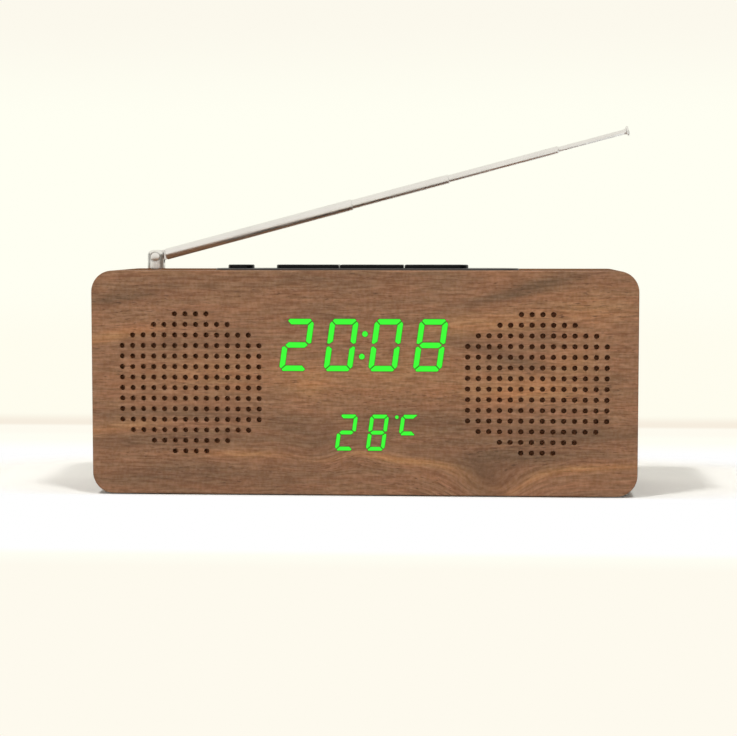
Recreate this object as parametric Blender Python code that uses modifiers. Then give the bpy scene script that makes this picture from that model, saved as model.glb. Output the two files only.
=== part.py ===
"""A wooden clock radio, modelled as the separate pieces it comes apart into on a bench.

Metres, +Z up. The front faces -Y and +X is to the right of someone looking at it. The origin is on
the table, under the middle of the cabinet. The cabinet comes out 206 mm wide, 84.6 mm high and
58 mm deep, because its width and height follow from the display and the grilles that it holds.
"""

import math

import bmesh
import bpy
from mathutils import Vector
from mathutils.geometry import interpolate_bezier

# Fits, in metres like every length here.
SEAT_GAP = 0.0003
PIVOT_GAP = 0.00015
TUBE_GAP = 0.0001
CUT_OVERRUN = 0.002
WELD_DISTANCE = 0.000001
FLAT_ANGLE = math.radians(0.1)
CIRCLE_TURN = 0.25
SHARP_ANGLE = math.radians(40)

# Display digits, seen through the veneer.
BIG_DIGIT_WIDTH = 0.01035
BIG_DIGIT_HEIGHT = 0.0198
BIG_DIGIT_STROKE = 0.0022
BIG_DIGIT_PITCH = 0.0168
BIG_DIGIT_COUNT = 4
BIG_ROW_SHIFT = 0.0002
SMALL_DIGIT_WIDTH = 0.00715
SMALL_DIGIT_HEIGHT = 0.0138
SMALL_DIGIT_STROKE = 0.0016
SMALL_DIGIT_PITCH = 0.0117
SMALL_DIGIT_COUNT = 2
SMALL_ROW_SHIFT = -0.0004
DIGIT_ROW_GAP = 0.0162
DIGIT_SLANT = math.radians(8)
SEGMENT_GAP = 0.00035
COLON_DOT_DIAMETER = 0.0023
COLON_HEIGHT_SHARES = (0.283, 0.712)
DEGREE_DOT_DIAMETER = 0.0015
DEGREE_DOT_DROP = 0.001
DEGREE_DOT_OFFSET = 0.0028
UNIT_WIDTH = 0.0063
UNIT_HEIGHT = 0.0079
UNIT_OFFSET = 0.0034

# Display window, reflector and board behind the front panel.
WINDOW_BORDER_X = 0.00235
WINDOW_BORDER_Z = 0.0023
WINDOW_DROP = 0.0006
SKIN_THICKNESS = 0.0008
DIFFUSER_THICKNESS = 0.0003
DISPLAY_BOARD_MARGIN_X = 0.0019
DISPLAY_BOARD_MARGIN_Z = 0.0046
DISPLAY_SCREW_INSET = 0.006
CIRCUIT_BOARD_THICKNESS = 0.0016

# Drilled grilles, one each side of the display.
GRILLE_PITCH = 0.004
GRILLE_HOLE_DIAMETER = 0.002
GRILLE_COUNT = 14
GRILLE_CORNER_COUNT = 5
GRILLE_CORNER_STEP_COUNT = 2
GRILLE_HOLE_SIDES = 5
GRILLE_SIDE_MARGIN = 0.0117
GRILLE_PIER = 0.0052

# Cabinet.
CABINET_DEPTH = 0.058
WINDOW_MARGIN_Z = 0.0151
WALL = 0.006
FRONT_THICKNESS = 0.005
CORNER_RADIUS = 0.008
CORNER_STEPS = 5
REBATE_WIDTH = 0.003
REAR_PANEL_THICKNESS = 0.003
REAR_PANEL_INSET = 0.0005
FOOT_DIAMETER = 0.012
FOOT_PROUD = 0.0004
FOOT_SOCKET_DEPTH = 0.0013
FOOT_INSET_X = 0.022
FOOT_INSET_Y = 0.0135

# Wood and board screws.
SCREW_SHANK_DIAMETER = 0.0018
SCREW_HEAD_DIAMETER = 0.0038
SCREW_HEAD_HEIGHT = 0.0013
SCREW_HEAD_CROWN = 0.0006
SCREW_POINT = 0.0008
SCREW_BITE = 0.0033
REAR_SCREW_BITE = 0.009
SCREW_WOOD = 0.0017
SMALL_SIDES = 6

# Speakers.
SPEAKER_FLANGE_WIDTH = 0.053
SPEAKER_FLANGE_THICKNESS = 0.0012
SPEAKER_FLANGE_RADIUS = 0.003
SPEAKER_SCREW_PITCH = 0.045
SPEAKER_MOUTH_RADIUS = 0.023
SPEAKER_BASKET_WALL = 0.0016
SPEAKER_BASKET_STEP = 0.003
SPEAKER_BASKET_DEPTH = 0.015
SPEAKER_WINDOW_WIDTH = 0.014
SPEAKER_WINDOW_TOP = 0.0045
SPEAKER_SPIDER_HEIGHT = 0.002
SPEAKER_THROAT_RADIUS = 0.01
MAGNET_RADIUS = 0.015
MAGNET_DEPTH = 0.0075
MAGNET_GAP_DEPTH = 0.004
POLE_RADIUS = 0.0068
COIL_RADIUS = 0.0078
COIL_WALL = 0.0005
COIL_REACH = 0.0025
COIL_PLAY = 0.0007
CONE_WALL = 0.0006
CONE_ROLL_WIDTH = 0.003
CONE_ROLL_HEIGHT = 0.0009
CONE_REST_DEPTH = 0.0016
CONE_THROAT_DEPTH = 0.0095
DUST_CAP_RISE = 0.003
CLOTH_THICKNESS = 0.0004
CLOTH_MARGIN = 0.0025
SPEAKER_SIDES = 12

# Control plate, keys and the button board under it.
CONTROL_SETBACK = 0.026
PLATE_LENGTH = 0.118
PLATE_DEPTH = 0.018
PLATE_PROUD = 0.0006
PLATE_RECESS = 0.0012
PLATE_LIP = 0.002
PLATE_BEVEL = 0.0004
ROUND_BUTTON_DIAMETER = 0.0103
ROUND_BUTTON_SHIFT = 0.001
KEY_LENGTH = 0.0245
KEY_DEPTH = 0.011
KEY_SPLIT = 0.0005
KEY_COUNT = 3
KEY_GROUP_SHIFT = 0.0021
KEY_PROUD = 0.002
KEY_BEVEL = 0.0004
KEY_TRAVEL = 0.0006
KEY_FLANGE = 0.0008
KEY_FLANGE_THICKNESS = 0.0008
KEY_STEM_DIAMETER = 0.0032
KEY_STEM_REACH = 0.0006
SWITCH_WIDTH = 0.006
SWITCH_HEIGHT = 0.0035
SWITCH_WELL_DEPTH = 0.0018
BUTTON_BOARD_THICKNESS = 0.0012
BUTTON_BOARD_ROOM = 0.0005
BOSS_DIAMETER = 0.0044
BOSS_MARGIN = 0.0013
ROUND_STEPS = 6
ROUND_SIDES = 10

# Telescopic antenna on its turning post.
ANTENNA_FROM_SIDE = 0.0181
ANTENNA_FROM_REAR = 0.018
ANTENNA_REST_ANGLE = math.radians(14.8)
POST_DIAMETER = 0.007
POST_PIVOT_HEIGHT = 0.0048
POST_CROWN_HEIGHT = 0.0029
POST_SHOULDER_SHARES = ((1.0, 0.25), (0.92, 0.55), (0.72, 0.83), (0.4, 0.97))
POST_SHANK_DIAMETER = 0.004
POST_SIDES = 12
TANG_THICKNESS = 0.002
TANG_RADIUS = 0.002
RIVET_DIAMETER = 0.002
RIVET_HEAD_DIAMETER = 0.0038
RIVET_HEAD_HEIGHT = 0.0005
TUBE_1_START = 0.004
TUBE_1_PLUG = 0.003
TIP_ROD_DIAMETER = 0.002
TUBE_3_WALL = 0.00035
TUBE_2_WALL = 0.00025
TUBE_1_WALL = 0.0003
TUBE_1_LENGTH = 0.077
TUBE_2_LENGTH = 0.074
TUBE_3_LENGTH = 0.073
TIP_ROD_LENGTH = 0.073
TUBE_2_OUT = 0.0394
TUBE_3_OUT = 0.0444
TIP_ROD_OUT = 0.0258
CRIMP_LENGTH = 0.0006
CRIMP_SHARE = 0.5
TIP_DIAMETER = 0.004
TIP_RIM = 0.0008
TIP_LENGTH = 0.0024
TUBE_SIDES = 10
ANTENNA_WOOD = 0.004
COUNTERBORE_ROOM = 0.0012
WASHER_THICKNESS = 0.0008
TAG_THICKNESS = 0.0004
TAG_WIDTH = 0.0025
TAG_LENGTH = 0.005
NUT_WIDTH = 0.0075
NUT_HEIGHT = 0.003
SHANK_END = 0.0008
NUT_SIDES = 6

# Main board, sockets and clock battery on the rear panel.
MAIN_BOARD_LENGTH = 0.072
MAIN_BOARD_HEIGHT = 0.034
MAIN_BOARD_DROP = 0.013
MAIN_BOSS_DIAMETER = 0.005
MAIN_BOSS_HEIGHT = 0.0088
MAIN_BOSS_INSET = 0.004
SOCKET_DROP = 0.019
SOCKET_SINK = 0.0002
SOCKET_DEPTH_SHARE = 0.8
SOCKET_PIN_DROP = 0.001
POWER_JACK_INSET = 0.012
POWER_JACK_WIDTH = 0.0105
POWER_JACK_NOSE_DIAMETER = 0.0074
POWER_JACK_BORE_DIAMETER = 0.0055
POWER_JACK_PIN_DIAMETER = 0.002
JACK_SPACING = 0.015
AUDIO_JACK_WIDTH = 0.0085
AUDIO_JACK_NOSE_DIAMETER = 0.006
AUDIO_JACK_BORE_DIAMETER = 0.0035
COIN_CELL_DIAMETER = 0.02
COIN_CELL_THICKNESS = 0.0032
CELL_HOLDER_WALL = 0.0012
CELL_HOLDER_FLOOR = 0.0008
CELL_HOLDER_LIP_SHARE = 0.8
CELL_HOLDER_CLEARANCE = 0.008
CHIP_WIDTH = 0.009
CHIP_HEIGHT = 0.0014
CHIP_INSET = 0.024
CHIP_RISE = 0.006
CAPACITOR_DIAMETER = 0.006
CAPACITOR_LENGTH = 0.008
CAPACITOR_INSET = 0.01
SENSOR_DIAMETER = 0.003
SENSOR_LENGTH = 0.006
SENSOR_INSET = 0.01
SENSOR_VENT_COUNT = 3
SENSOR_VENT_WIDTH = 0.0014
SENSOR_VENT_HEIGHT = 0.008
SENSOR_VENT_PITCH = 0.0034
VENT_COUNT = 5
VENT_WIDTH = 0.0024
VENT_HEIGHT = 0.026
VENT_PITCH = 0.006

# Leads inside the cabinet.
LEAD_DIAMETER = 0.0014
LEAD_HANDLE = 0.012
LEAD_SPACING = 0.006
LEAD_POINTS = 9

DIGIT_LEAN = math.tan(DIGIT_SLANT)


def row_width(count, pitch, width, height):
    """Overall width of a row of slanted digits."""
    return (count - 1) * pitch + width + height * DIGIT_LEAN


BIG_ROW_WIDTH = row_width(BIG_DIGIT_COUNT, BIG_DIGIT_PITCH, BIG_DIGIT_WIDTH, BIG_DIGIT_HEIGHT)
SMALL_ROW_WIDTH = row_width(SMALL_DIGIT_COUNT, SMALL_DIGIT_PITCH, SMALL_DIGIT_WIDTH, SMALL_DIGIT_HEIGHT)
WINDOW_WIDTH = BIG_ROW_WIDTH + 2 * WINDOW_BORDER_X
WINDOW_HEIGHT = BIG_DIGIT_HEIGHT + DIGIT_ROW_GAP + SMALL_DIGIT_HEIGHT + 2 * WINDOW_BORDER_Z
GRILLE_SPAN = (GRILLE_COUNT - 1) * GRILLE_PITCH
GRILLE_X = WINDOW_WIDTH / 2 + GRILLE_PIER + GRILLE_SPAN / 2
CABINET_WIDTH = 2 * (GRILLE_X + GRILLE_SPAN / 2 + GRILLE_SIDE_MARGIN)
CABINET_HEIGHT = WINDOW_HEIGHT + 2 * WINDOW_MARGIN_Z

BASE_Z = FOOT_PROUD
MID_Z = BASE_Z + CABINET_HEIGHT / 2
TOP_Z = BASE_Z + CABINET_HEIGHT
FRONT_Y = -CABINET_DEPTH / 2
REAR_Y = CABINET_DEPTH / 2
PANEL_BACK_Y = FRONT_Y + FRONT_THICKNESS
REAR_PANEL_OUTER_Y = REAR_Y - REAR_PANEL_INSET
REAR_PANEL_INNER_Y = REAR_PANEL_OUTER_Y - REAR_PANEL_THICKNESS
REBATE_Y = REAR_PANEL_INNER_Y - SEAT_GAP

SHANK_RADIUS = SCREW_SHANK_DIAMETER / 2
PILOT_RADIUS = SHANK_RADIUS + SEAT_GAP
REAR_SCREW_X = CABINET_WIDTH / 2 - CORNER_RADIUS
REAR_SCREW_Z = CABINET_HEIGHT / 2 - CORNER_RADIUS
DIAGONAL = math.sqrt(2)
# The inner corners are filled out until the rear screws have enough wood round them.
INNER_CORNER_RADIUS = (PILOT_RADIUS + SCREW_WOOD + DIAGONAL * (CORNER_RADIUS - WALL)) / (DIAGONAL - 1)

WINDOW_Z = MID_Z - WINDOW_DROP
BIG_ROW_BOTTOM = WINDOW_Z + WINDOW_HEIGHT / 2 - WINDOW_BORDER_Z - BIG_DIGIT_HEIGHT
SMALL_ROW_BOTTOM = WINDOW_Z - WINDOW_HEIGHT / 2 + WINDOW_BORDER_Z
DIFFUSER_Y = FRONT_Y + SKIN_THICKNESS + SEAT_GAP
REFLECTOR_Y = DIFFUSER_Y + DIFFUSER_THICKNESS + SEAT_GAP
DISPLAY_BOARD_Y = PANEL_BACK_Y + SEAT_GAP

CLOTH_Y = PANEL_BACK_Y + SEAT_GAP
SPEAKER_Y = CLOTH_Y + CLOTH_THICKNESS + SEAT_GAP

CONTROL_Y = FRONT_Y + CONTROL_SETBACK
PLATE_BOTTOM_Z = TOP_Z - PLATE_RECESS + SEAT_GAP
PLATE_END_X = PLATE_LENGTH / 2 - PLATE_DEPTH / 2
ROUND_BUTTON_X = ROUND_BUTTON_SHIFT - PLATE_END_X
KEY_GROUP_LENGTH = KEY_COUNT * KEY_LENGTH + (KEY_COUNT - 1) * KEY_SPLIT
KEY_FLANGE_TOP = PLATE_BOTTOM_Z - SEAT_GAP
KEY_FLANGE_BOTTOM = KEY_FLANGE_TOP - KEY_FLANGE_THICKNESS
SWITCH_TOP = KEY_FLANGE_BOTTOM - KEY_TRAVEL - SEAT_GAP
BUTTON_BOARD_TOP = SWITCH_TOP - SWITCH_HEIGHT - SEAT_GAP
BOSS_X = (
    (ROUND_BUTTON_X + ROUND_BUTTON_DIAMETER / 2 + KEY_GROUP_SHIFT - KEY_GROUP_LENGTH / 2) / 2,
    KEY_GROUP_SHIFT + KEY_GROUP_LENGTH / 2 + KEY_FLANGE + BOSS_MARGIN + BOSS_DIAMETER / 2,
)

ANTENNA_X = -CABINET_WIDTH / 2 + ANTENNA_FROM_SIDE
ANTENNA_Y = REAR_Y - ANTENNA_FROM_REAR
PIVOT_Z = TOP_Z + POST_PIVOT_HEIGHT
TIP_ROD_RADIUS = TIP_ROD_DIAMETER / 2
TUBE_3_BORE = TIP_ROD_RADIUS + TUBE_GAP
TUBE_3_RADIUS = TUBE_3_BORE + TUBE_3_WALL
TUBE_2_BORE = TUBE_3_RADIUS + TUBE_GAP
TUBE_2_RADIUS = TUBE_2_BORE + TUBE_2_WALL
TUBE_1_BORE = TUBE_2_RADIUS + TUBE_GAP
TUBE_1_RADIUS = TUBE_1_BORE + TUBE_1_WALL
TUBE_1_END = TUBE_1_START + TUBE_1_LENGTH
TUBE_2_END = TUBE_1_END + TUBE_2_OUT
TUBE_3_END = TUBE_2_END + TUBE_3_OUT
TIP_ROD_END = TUBE_3_END + TIP_ROD_OUT

# The soldering tag hangs from the washer's rim, clear of the nut that turns inside it.
NUT_CORNER_RADIUS = NUT_WIDTH / 2 / math.cos(math.pi / NUT_SIDES)
TAG_X = NUT_CORNER_RADIUS + SEAT_GAP + TAG_THICKNESS / 2
WASHER_RADIUS = TAG_X + TAG_THICKNESS
WASHER_TOP_Z = TOP_Z - ANTENNA_WOOD - SEAT_GAP
TAG_END_Z = WASHER_TOP_Z - WASHER_THICKNESS / 2 - TAG_LENGTH

MAIN_BOARD_Z = MID_Z - MAIN_BOARD_DROP
MAIN_BOARD_REAR_Y = REAR_PANEL_INNER_Y - MAIN_BOSS_HEIGHT - SEAT_GAP
MAIN_BOARD_FRONT_Y = MAIN_BOARD_REAR_Y - CIRCUIT_BOARD_THICKNESS
MAIN_SCREW_X = MAIN_BOARD_LENGTH / 2 - MAIN_BOSS_INSET
MAIN_SCREW_Z = MAIN_BOARD_HEIGHT / 2 - MAIN_BOSS_INSET
SOCKET_Z = MID_Z - SOCKET_DROP
MAIN_BOARD_RIGHT = MAIN_BOARD_LENGTH / 2
POWER_JACK_X = MAIN_BOARD_RIGHT - POWER_JACK_INSET
AUDIO_JACK_X = POWER_JACK_X - JACK_SPACING
CHIP_X = MAIN_BOARD_RIGHT - CHIP_INSET
CAPACITOR_X = MAIN_BOARD_RIGHT - CAPACITOR_INSET
CELL_HOLDER_RADIUS = COIN_CELL_DIAMETER / 2 + SEAT_GAP + CELL_HOLDER_WALL
CELL_HOLDER_X = CHIP_X - CHIP_WIDTH / 2 - CELL_HOLDER_CLEARANCE - CELL_HOLDER_RADIUS
SENSOR_X = SENSOR_INSET - MAIN_BOARD_RIGHT

STANDING = (math.pi / 2, 0, 0)
FACING_REAR = (-math.pi / 2, 0, 0)
FACING_FRONT = (math.pi / 2, 0, 0)
FACING_DOWN = (math.pi, 0, 0)

FINISHES = {
    "walnut_veneer": ((0.27, 0.145, 0.085), 0.55, 0),
    "black_plastic": ((0.012, 0.013, 0.014), 0.35, 0),
    "rear_plastic": ((0.02, 0.02, 0.022), 0.55, 0),
    "chrome": ((0.78, 0.77, 0.75), 0.15, 1),
    "zinc_steel": ((0.55, 0.56, 0.57), 0.35, 1),
    "black_screw": ((0.03, 0.03, 0.03), 0.4, 1),
    "foam_pad": ((0.03, 0.03, 0.03), 0.9, 0),
    "speaker_cloth": ((0.035, 0.018, 0.01), 0.95, 0),
    "speaker_paper": ((0.02, 0.02, 0.02), 0.85, 0),
    "ferrite": ((0.06, 0.06, 0.065), 0.6, 0.4),
    "circuit_board": ((0.03, 0.17, 0.08), 0.45, 0),
    "white_reflector": ((0.8, 0.8, 0.78), 0.5, 0),
    "diffuser_film": ((0.75, 0.78, 0.75), 0.6, 0),
    "switch_plastic": ((0.05, 0.05, 0.05), 0.5, 0),
    "sensor_resin": ((0.12, 0.08, 0.03), 0.4, 0),
    "red_lead": ((0.45, 0.03, 0.02), 0.45, 0),
    "black_lead": ((0.02, 0.02, 0.02), 0.45, 0),
}


def fresh_collections():
    """Clear the scene, then make one collection for the parts and one for the cutters."""
    for old in list(bpy.data.objects):
        bpy.data.objects.remove(old)
    made = []
    for name in ("wooden_clock_radio", "cutters"):
        collection = bpy.data.collections.new(name)
        bpy.context.scene.collection.children.link(collection)
        made.append(collection)
    return made


def smooth_by_angle():
    """A node group that shades a mesh smooth, apart from the edges that are sharper than an angle."""
    group = bpy.data.node_groups.new("smooth_by_angle", "GeometryNodeTree")
    group.interface.new_socket("Mesh", in_out="INPUT", socket_type="NodeSocketGeometry")
    group.interface.new_socket("Mesh", in_out="OUTPUT", socket_type="NodeSocketGeometry")
    nodes = group.nodes
    faces = nodes.new("GeometryNodeSetShadeSmooth")
    edges = nodes.new("GeometryNodeSetShadeSmooth")
    edges.domain = "EDGE"
    edges.inputs["Shade Smooth"].default_value = False
    sharp = nodes.new("FunctionNodeCompare")
    sharp.operation = "GREATER_THAN"
    sharp.inputs[1].default_value = SHARP_ANGLE
    angle = nodes.new("GeometryNodeInputMeshEdgeAngle")
    for start, end in (
        (nodes.new("NodeGroupInput").outputs[0], faces.inputs["Geometry"]),
        (faces.outputs[0], edges.inputs["Geometry"]),
        (angle.outputs["Unsigned Angle"], sharp.inputs[0]),
        (sharp.outputs[0], edges.inputs["Selection"]),
        (edges.outputs[0], nodes.new("NodeGroupOutput").inputs[0]),
    ):
        group.links.new(start, end)
    return group


parts, cutters = fresh_collections()
shading = smooth_by_angle()


def place(made, location, rotation, parent, helper):
    (cutters if helper else parts).objects.link(made)
    made.location = location
    made.rotation_euler = rotation
    made.parent = parent
    if helper:
        made.hide_render = True
        made.display_type = "WIRE"
    return made


def empty(name, location, rotation=(0, 0, 0), parent=None):
    """An axis that moving pieces hang on."""
    return place(bpy.data.objects.new(name, None), location, rotation, parent, False)


def block(name, size, location, rotation=(0, 0, 0), parent=None, helper=False):
    """A box of the given size about its location."""
    mesh = bpy.data.meshes.new(name)
    shape = bmesh.new()
    bmesh.ops.create_cube(shape, size=1)
    bmesh.ops.scale(shape, vec=Vector(size), verts=shape.verts)
    shape.to_mesh(mesh)
    shape.free()
    return place(bpy.data.objects.new(name, mesh), location, rotation, parent, helper)


def turned(name, profile, sides, location, rotation=(0, 0, 0), parent=None, closed=False, helper=False):
    """A profile of (radius, height) points turned about local Z; its outer side runs top to bottom."""
    count = len(profile)
    edges = [(i, i + 1) for i in range(count - 1)]
    if closed:
        edges.append((count - 1, 0))
    mesh = bpy.data.meshes.new(name)
    mesh.from_pydata([(radius, 0, height) for radius, height in profile], edges, [])
    made = place(bpy.data.objects.new(name, mesh), location, rotation, parent, helper)
    lathe = made.modifiers.new("lathe", "SCREW")
    lathe.steps = sides
    lathe.render_steps = sides
    lathe.use_merge_vertices = True
    lathe.merge_threshold = WELD_DISTANCE
    lathe.use_smooth_shade = True
    return made


def bar(name, radius, bottom, top, sides, location, rotation=(0, 0, 0), parent=None, helper=False):
    """A solid cylinder along local Z between two heights."""
    mesh = bpy.data.meshes.new(name)
    shape = bmesh.new()
    bmesh.ops.create_cone(
        shape, cap_ends=True, segments=sides, radius1=radius, radius2=radius, depth=top - bottom
    )
    bmesh.ops.translate(shape, vec=(0, 0, (top + bottom) / 2), verts=shape.verts)
    shape.to_mesh(mesh)
    shape.free()
    return place(bpy.data.objects.new(name, mesh), location, rotation, parent, helper)


def plate(name, loops, thickness, location, rotation=(0, 0, 0), parent=None, helper=False):
    """One flat piece for each loop, extruded to both sides of the location."""
    curve = bpy.data.curves.new(name, "CURVE")
    curve.dimensions = "2D"
    curve.fill_mode = "BOTH"
    curve.extrude = thickness / 2
    for loop in loops:
        spline = curve.splines.new("POLY")
        spline.points.add(len(loop) - 1)
        for point, (x, y) in zip(spline.points, loop):
            point.co = (x, y, 0, 1)
        spline.use_cyclic_u = True
    return meshed(place(bpy.data.objects.new(name, curve), location, rotation, parent, helper))


def meshed(drawn):
    """The same object with its curve made a welded mesh."""
    bpy.context.view_layer.update()
    graph = bpy.context.evaluated_depsgraph_get()
    mesh = bpy.data.meshes.new_from_object(drawn.evaluated_get(graph))
    shape = bmesh.new()
    shape.from_mesh(mesh)
    bmesh.ops.remove_doubles(shape, verts=shape.verts, dist=WELD_DISTANCE)
    bmesh.ops.dissolve_limit(shape, angle_limit=FLAT_ANGLE, verts=shape.verts, edges=shape.edges)
    bmesh.ops.recalc_face_normals(shape, faces=shape.faces)
    shape.to_mesh(mesh)
    shape.free()
    name = drawn.name
    helper = drawn.hide_render
    location = drawn.location.copy()
    rotation = drawn.rotation_euler.copy()
    parent = drawn.parent
    bpy.data.objects.remove(drawn)
    return place(bpy.data.objects.new(name, mesh), location, rotation, parent, helper)


def boolean(target, tool, operation):
    step = target.modifiers.new(tool.name, "BOOLEAN")
    step.operation = operation
    step.solver = "EXACT"
    step.object = tool
    return target


def cut(target, tool):
    return boolean(target, tool, "DIFFERENCE")


def fuse(target, tool):
    return boolean(target, tool, "UNION")


def perforate(target, loops, thickness):
    """Cut flat holes right through a plate that is made about the same location."""
    name = f"{target.name}_holes_cutter"
    place_of = (target.location, target.rotation_euler, target.parent)
    return cut(target, plate(name, loops, thickness + 2 * CUT_OVERRUN, *place_of, helper=True))


def bore(target, name, radius, bottom, top, sides, location, rotation=(0, 0, 0), parent=None):
    """Cut out the cylinder that bar would make."""
    return cut(target, bar(name, radius, bottom, top, sides, location, rotation, parent, helper=True))


def stud(target, name, radius, bottom, top, sides, location, rotation=(0, 0, 0), parent=None):
    """Join on the cylinder that bar would make."""
    return fuse(target, bar(name, radius, bottom, top, sides, location, rotation, parent, helper=True))


def round_edges(made, width):
    """Bevel the sharp edges of a piece."""
    bevel = made.modifiers.new("rounding", "BEVEL")
    bevel.width = width
    bevel.segments = 1
    bevel.limit_method = "ANGLE"
    return made


def finish(made, name):
    """Give a piece its shading and its material, made once for all pieces that share it."""
    made.modifiers.new("shading", "NODES").node_group = shading
    material = bpy.data.materials.get(name)
    if material is None:
        material = bpy.data.materials.new(name)
        material.use_nodes = True
        colour, roughness, metallic = FINISHES[name]
        shader = material.node_tree.nodes["Principled BSDF"]
        shader.inputs["Base Color"].default_value = (*colour, 1)
        shader.inputs["Roughness"].default_value = roughness
        shader.inputs["Metallic"].default_value = metallic
        material.diffuse_color = (*colour, 1)
    made.data.materials.clear()
    made.data.materials.append(material)
    return made


def circle(radius, sides, x=0, y=0):
    """Points round a circle, turned a little so that neighbouring holes share no lines."""
    step = 2 * math.pi / sides
    return [
        (x + radius * math.cos((i + CIRCLE_TURN) * step), y + radius * math.sin((i + CIRCLE_TURN) * step))
        for i in range(sides)
    ]


def rounded_rectangle(width, height, radius, steps):
    """Corner arcs of a rectangle about (0, 0), joined by its straight sides."""
    points = []
    for quarter in range(4):
        corner_x = math.copysign(width / 2 - radius, math.cos(quarter * math.pi / 2 + math.pi / 4))
        corner_y = math.copysign(height / 2 - radius, math.sin(quarter * math.pi / 2 + math.pi / 4))
        for i in range(steps + 1):
            angle = (quarter + i / steps) * math.pi / 2
            points.append((corner_x + radius * math.cos(angle), corner_y + radius * math.sin(angle)))
    return points


def rectangle(width, height, x=0, y=0):
    return [
        (x - width / 2, y - height / 2),
        (x + width / 2, y - height / 2),
        (x + width / 2, y + height / 2),
        (x - width / 2, y + height / 2),
    ]


def stadium(left, right, depth, steps, round_left=True, round_right=True):
    """A strip along X about Y = 0, with each end round or square."""
    radius = depth / 2
    points = []
    for end, inner, is_round, start in (
        (right, right - radius, round_right, -math.pi / 2),
        (left, left + radius, round_left, math.pi / 2),
    ):
        if not is_round:
            sign = math.copysign(1, start)
            points += [(end, sign * radius), (end, -sign * radius)]
            continue
        for i in range(steps + 1):
            angle = start + i * math.pi / steps
            points.append((inner + radius * math.cos(angle), radius * math.sin(angle)))
    return points


def grille_holes():
    """Centres of one grille's holes: a square grid whose outer rows stop short of its corners."""
    for row in range(GRILLE_COUNT):
        from_edge = min(row, GRILLE_COUNT - 1 - row)
        cuts = max(0, GRILLE_CORNER_COUNT - GRILLE_CORNER_STEP_COUNT * from_edge)
        for column in range(cuts, GRILLE_COUNT - cuts):
            yield column * GRILLE_PITCH - GRILLE_SPAN / 2, row * GRILLE_PITCH - GRILLE_SPAN / 2


def digit_segments(width, height, stroke, names):
    """Outlines of a digit's bars, mitred at the corners, with (0, 0) at its lower left."""
    slit = SEGMENT_GAP / DIAGONAL
    middle = height / 2
    left = [
        (0, height - slit),
        (stroke, height - stroke - slit),
        (stroke, middle + stroke / 2 + slit),
        (0, middle + slit),
    ]
    top = [
        (slit, height),
        (width - slit, height),
        (width - stroke - slit, height - stroke),
        (stroke + slit, height - stroke),
    ]
    bars = {
        "top": top,
        "upper_left": left,
        "upper_right": [(width - x, y) for x, y in left],
        "middle": [
            (stroke / 2 + slit, middle),
            (stroke + slit, middle + stroke / 2),
            (width - stroke - slit, middle + stroke / 2),
            (width - stroke / 2 - slit, middle),
            (width - stroke - slit, middle - stroke / 2),
            (stroke + slit, middle - stroke / 2),
        ],
        "lower_left": [(x, height - y) for x, y in left],
        "lower_right": [(width - x, height - y) for x, y in left],
        "bottom": [(x, height - y) for x, y in top],
    }
    return [bars[name] for name in names]


def leaned(loops, left, bottom):
    """Loops moved to a place and slanted to the right."""
    return [[(left + x + y * DIGIT_LEAN, bottom + y) for x, y in loop] for loop in loops]


ALL_SEGMENTS = ("top", "upper_left", "upper_right", "middle", "lower_left", "lower_right", "bottom")


def unit_segments():
    """The unit letter after the degree dot, drawn with three bars."""
    slit = SEGMENT_GAP / DIAGONAL
    stroke = SMALL_DIGIT_STROKE
    bottom = [(slit, 0), (UNIT_WIDTH, 0), (UNIT_WIDTH - stroke, stroke), (stroke + slit, stroke)]
    side = [
        (0, slit),
        (stroke, stroke + slit),
        (stroke, UNIT_HEIGHT - stroke - slit),
        (0, UNIT_HEIGHT - slit),
    ]
    return [[(x, UNIT_HEIGHT - y) for x, y in bottom], side, bottom]


def display_loops():
    """Every light well of the display, in the plane of the front panel."""
    loops = []
    row_left = BIG_ROW_SHIFT - BIG_ROW_WIDTH / 2
    for i in range(BIG_DIGIT_COUNT):
        bars = digit_segments(BIG_DIGIT_WIDTH, BIG_DIGIT_HEIGHT, BIG_DIGIT_STROKE, ALL_SEGMENTS)
        loops += leaned(bars, row_left + i * BIG_DIGIT_PITCH, BIG_ROW_BOTTOM)
    for share in COLON_HEIGHT_SHARES:
        height = share * BIG_DIGIT_HEIGHT
        x = BIG_ROW_SHIFT + (height - BIG_DIGIT_HEIGHT / 2) * DIGIT_LEAN
        loops.append(circle(COLON_DOT_DIAMETER / 2, SMALL_SIDES, x, BIG_ROW_BOTTOM + height))
    row_left = SMALL_ROW_SHIFT - SMALL_ROW_WIDTH / 2
    for i in range(SMALL_DIGIT_COUNT):
        bars = digit_segments(SMALL_DIGIT_WIDTH, SMALL_DIGIT_HEIGHT, SMALL_DIGIT_STROKE, ALL_SEGMENTS)
        loops += leaned(bars, row_left + i * SMALL_DIGIT_PITCH, SMALL_ROW_BOTTOM)
    row_right = row_left + SMALL_ROW_WIDTH
    row_top = SMALL_ROW_BOTTOM + SMALL_DIGIT_HEIGHT
    loops += leaned(unit_segments(), row_right + UNIT_OFFSET, row_top - UNIT_HEIGHT)
    dot_x = row_right + DEGREE_DOT_OFFSET
    loops.append(circle(DEGREE_DOT_DIAMETER / 2, SMALL_SIDES, dot_x, row_top - DEGREE_DOT_DROP))
    return loops


def speaker_screw_points(side):
    """The two screws of a speaker, at opposite corners of its flange."""
    reach = SPEAKER_SCREW_PITCH / 2
    return [(side * (GRILLE_X - reach), MID_Z + reach), (side * (GRILLE_X + reach), MID_Z - reach)]


def display_screw_points():
    """The two screws of the display board, in its margins above and below the window."""
    x = WINDOW_WIDTH / 2 - DISPLAY_SCREW_INSET
    z = WINDOW_HEIGHT / 2 + DISPLAY_BOARD_MARGIN_Z / 2
    return [(-x, WINDOW_Z + z), (x, WINDOW_Z - z)]


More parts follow.
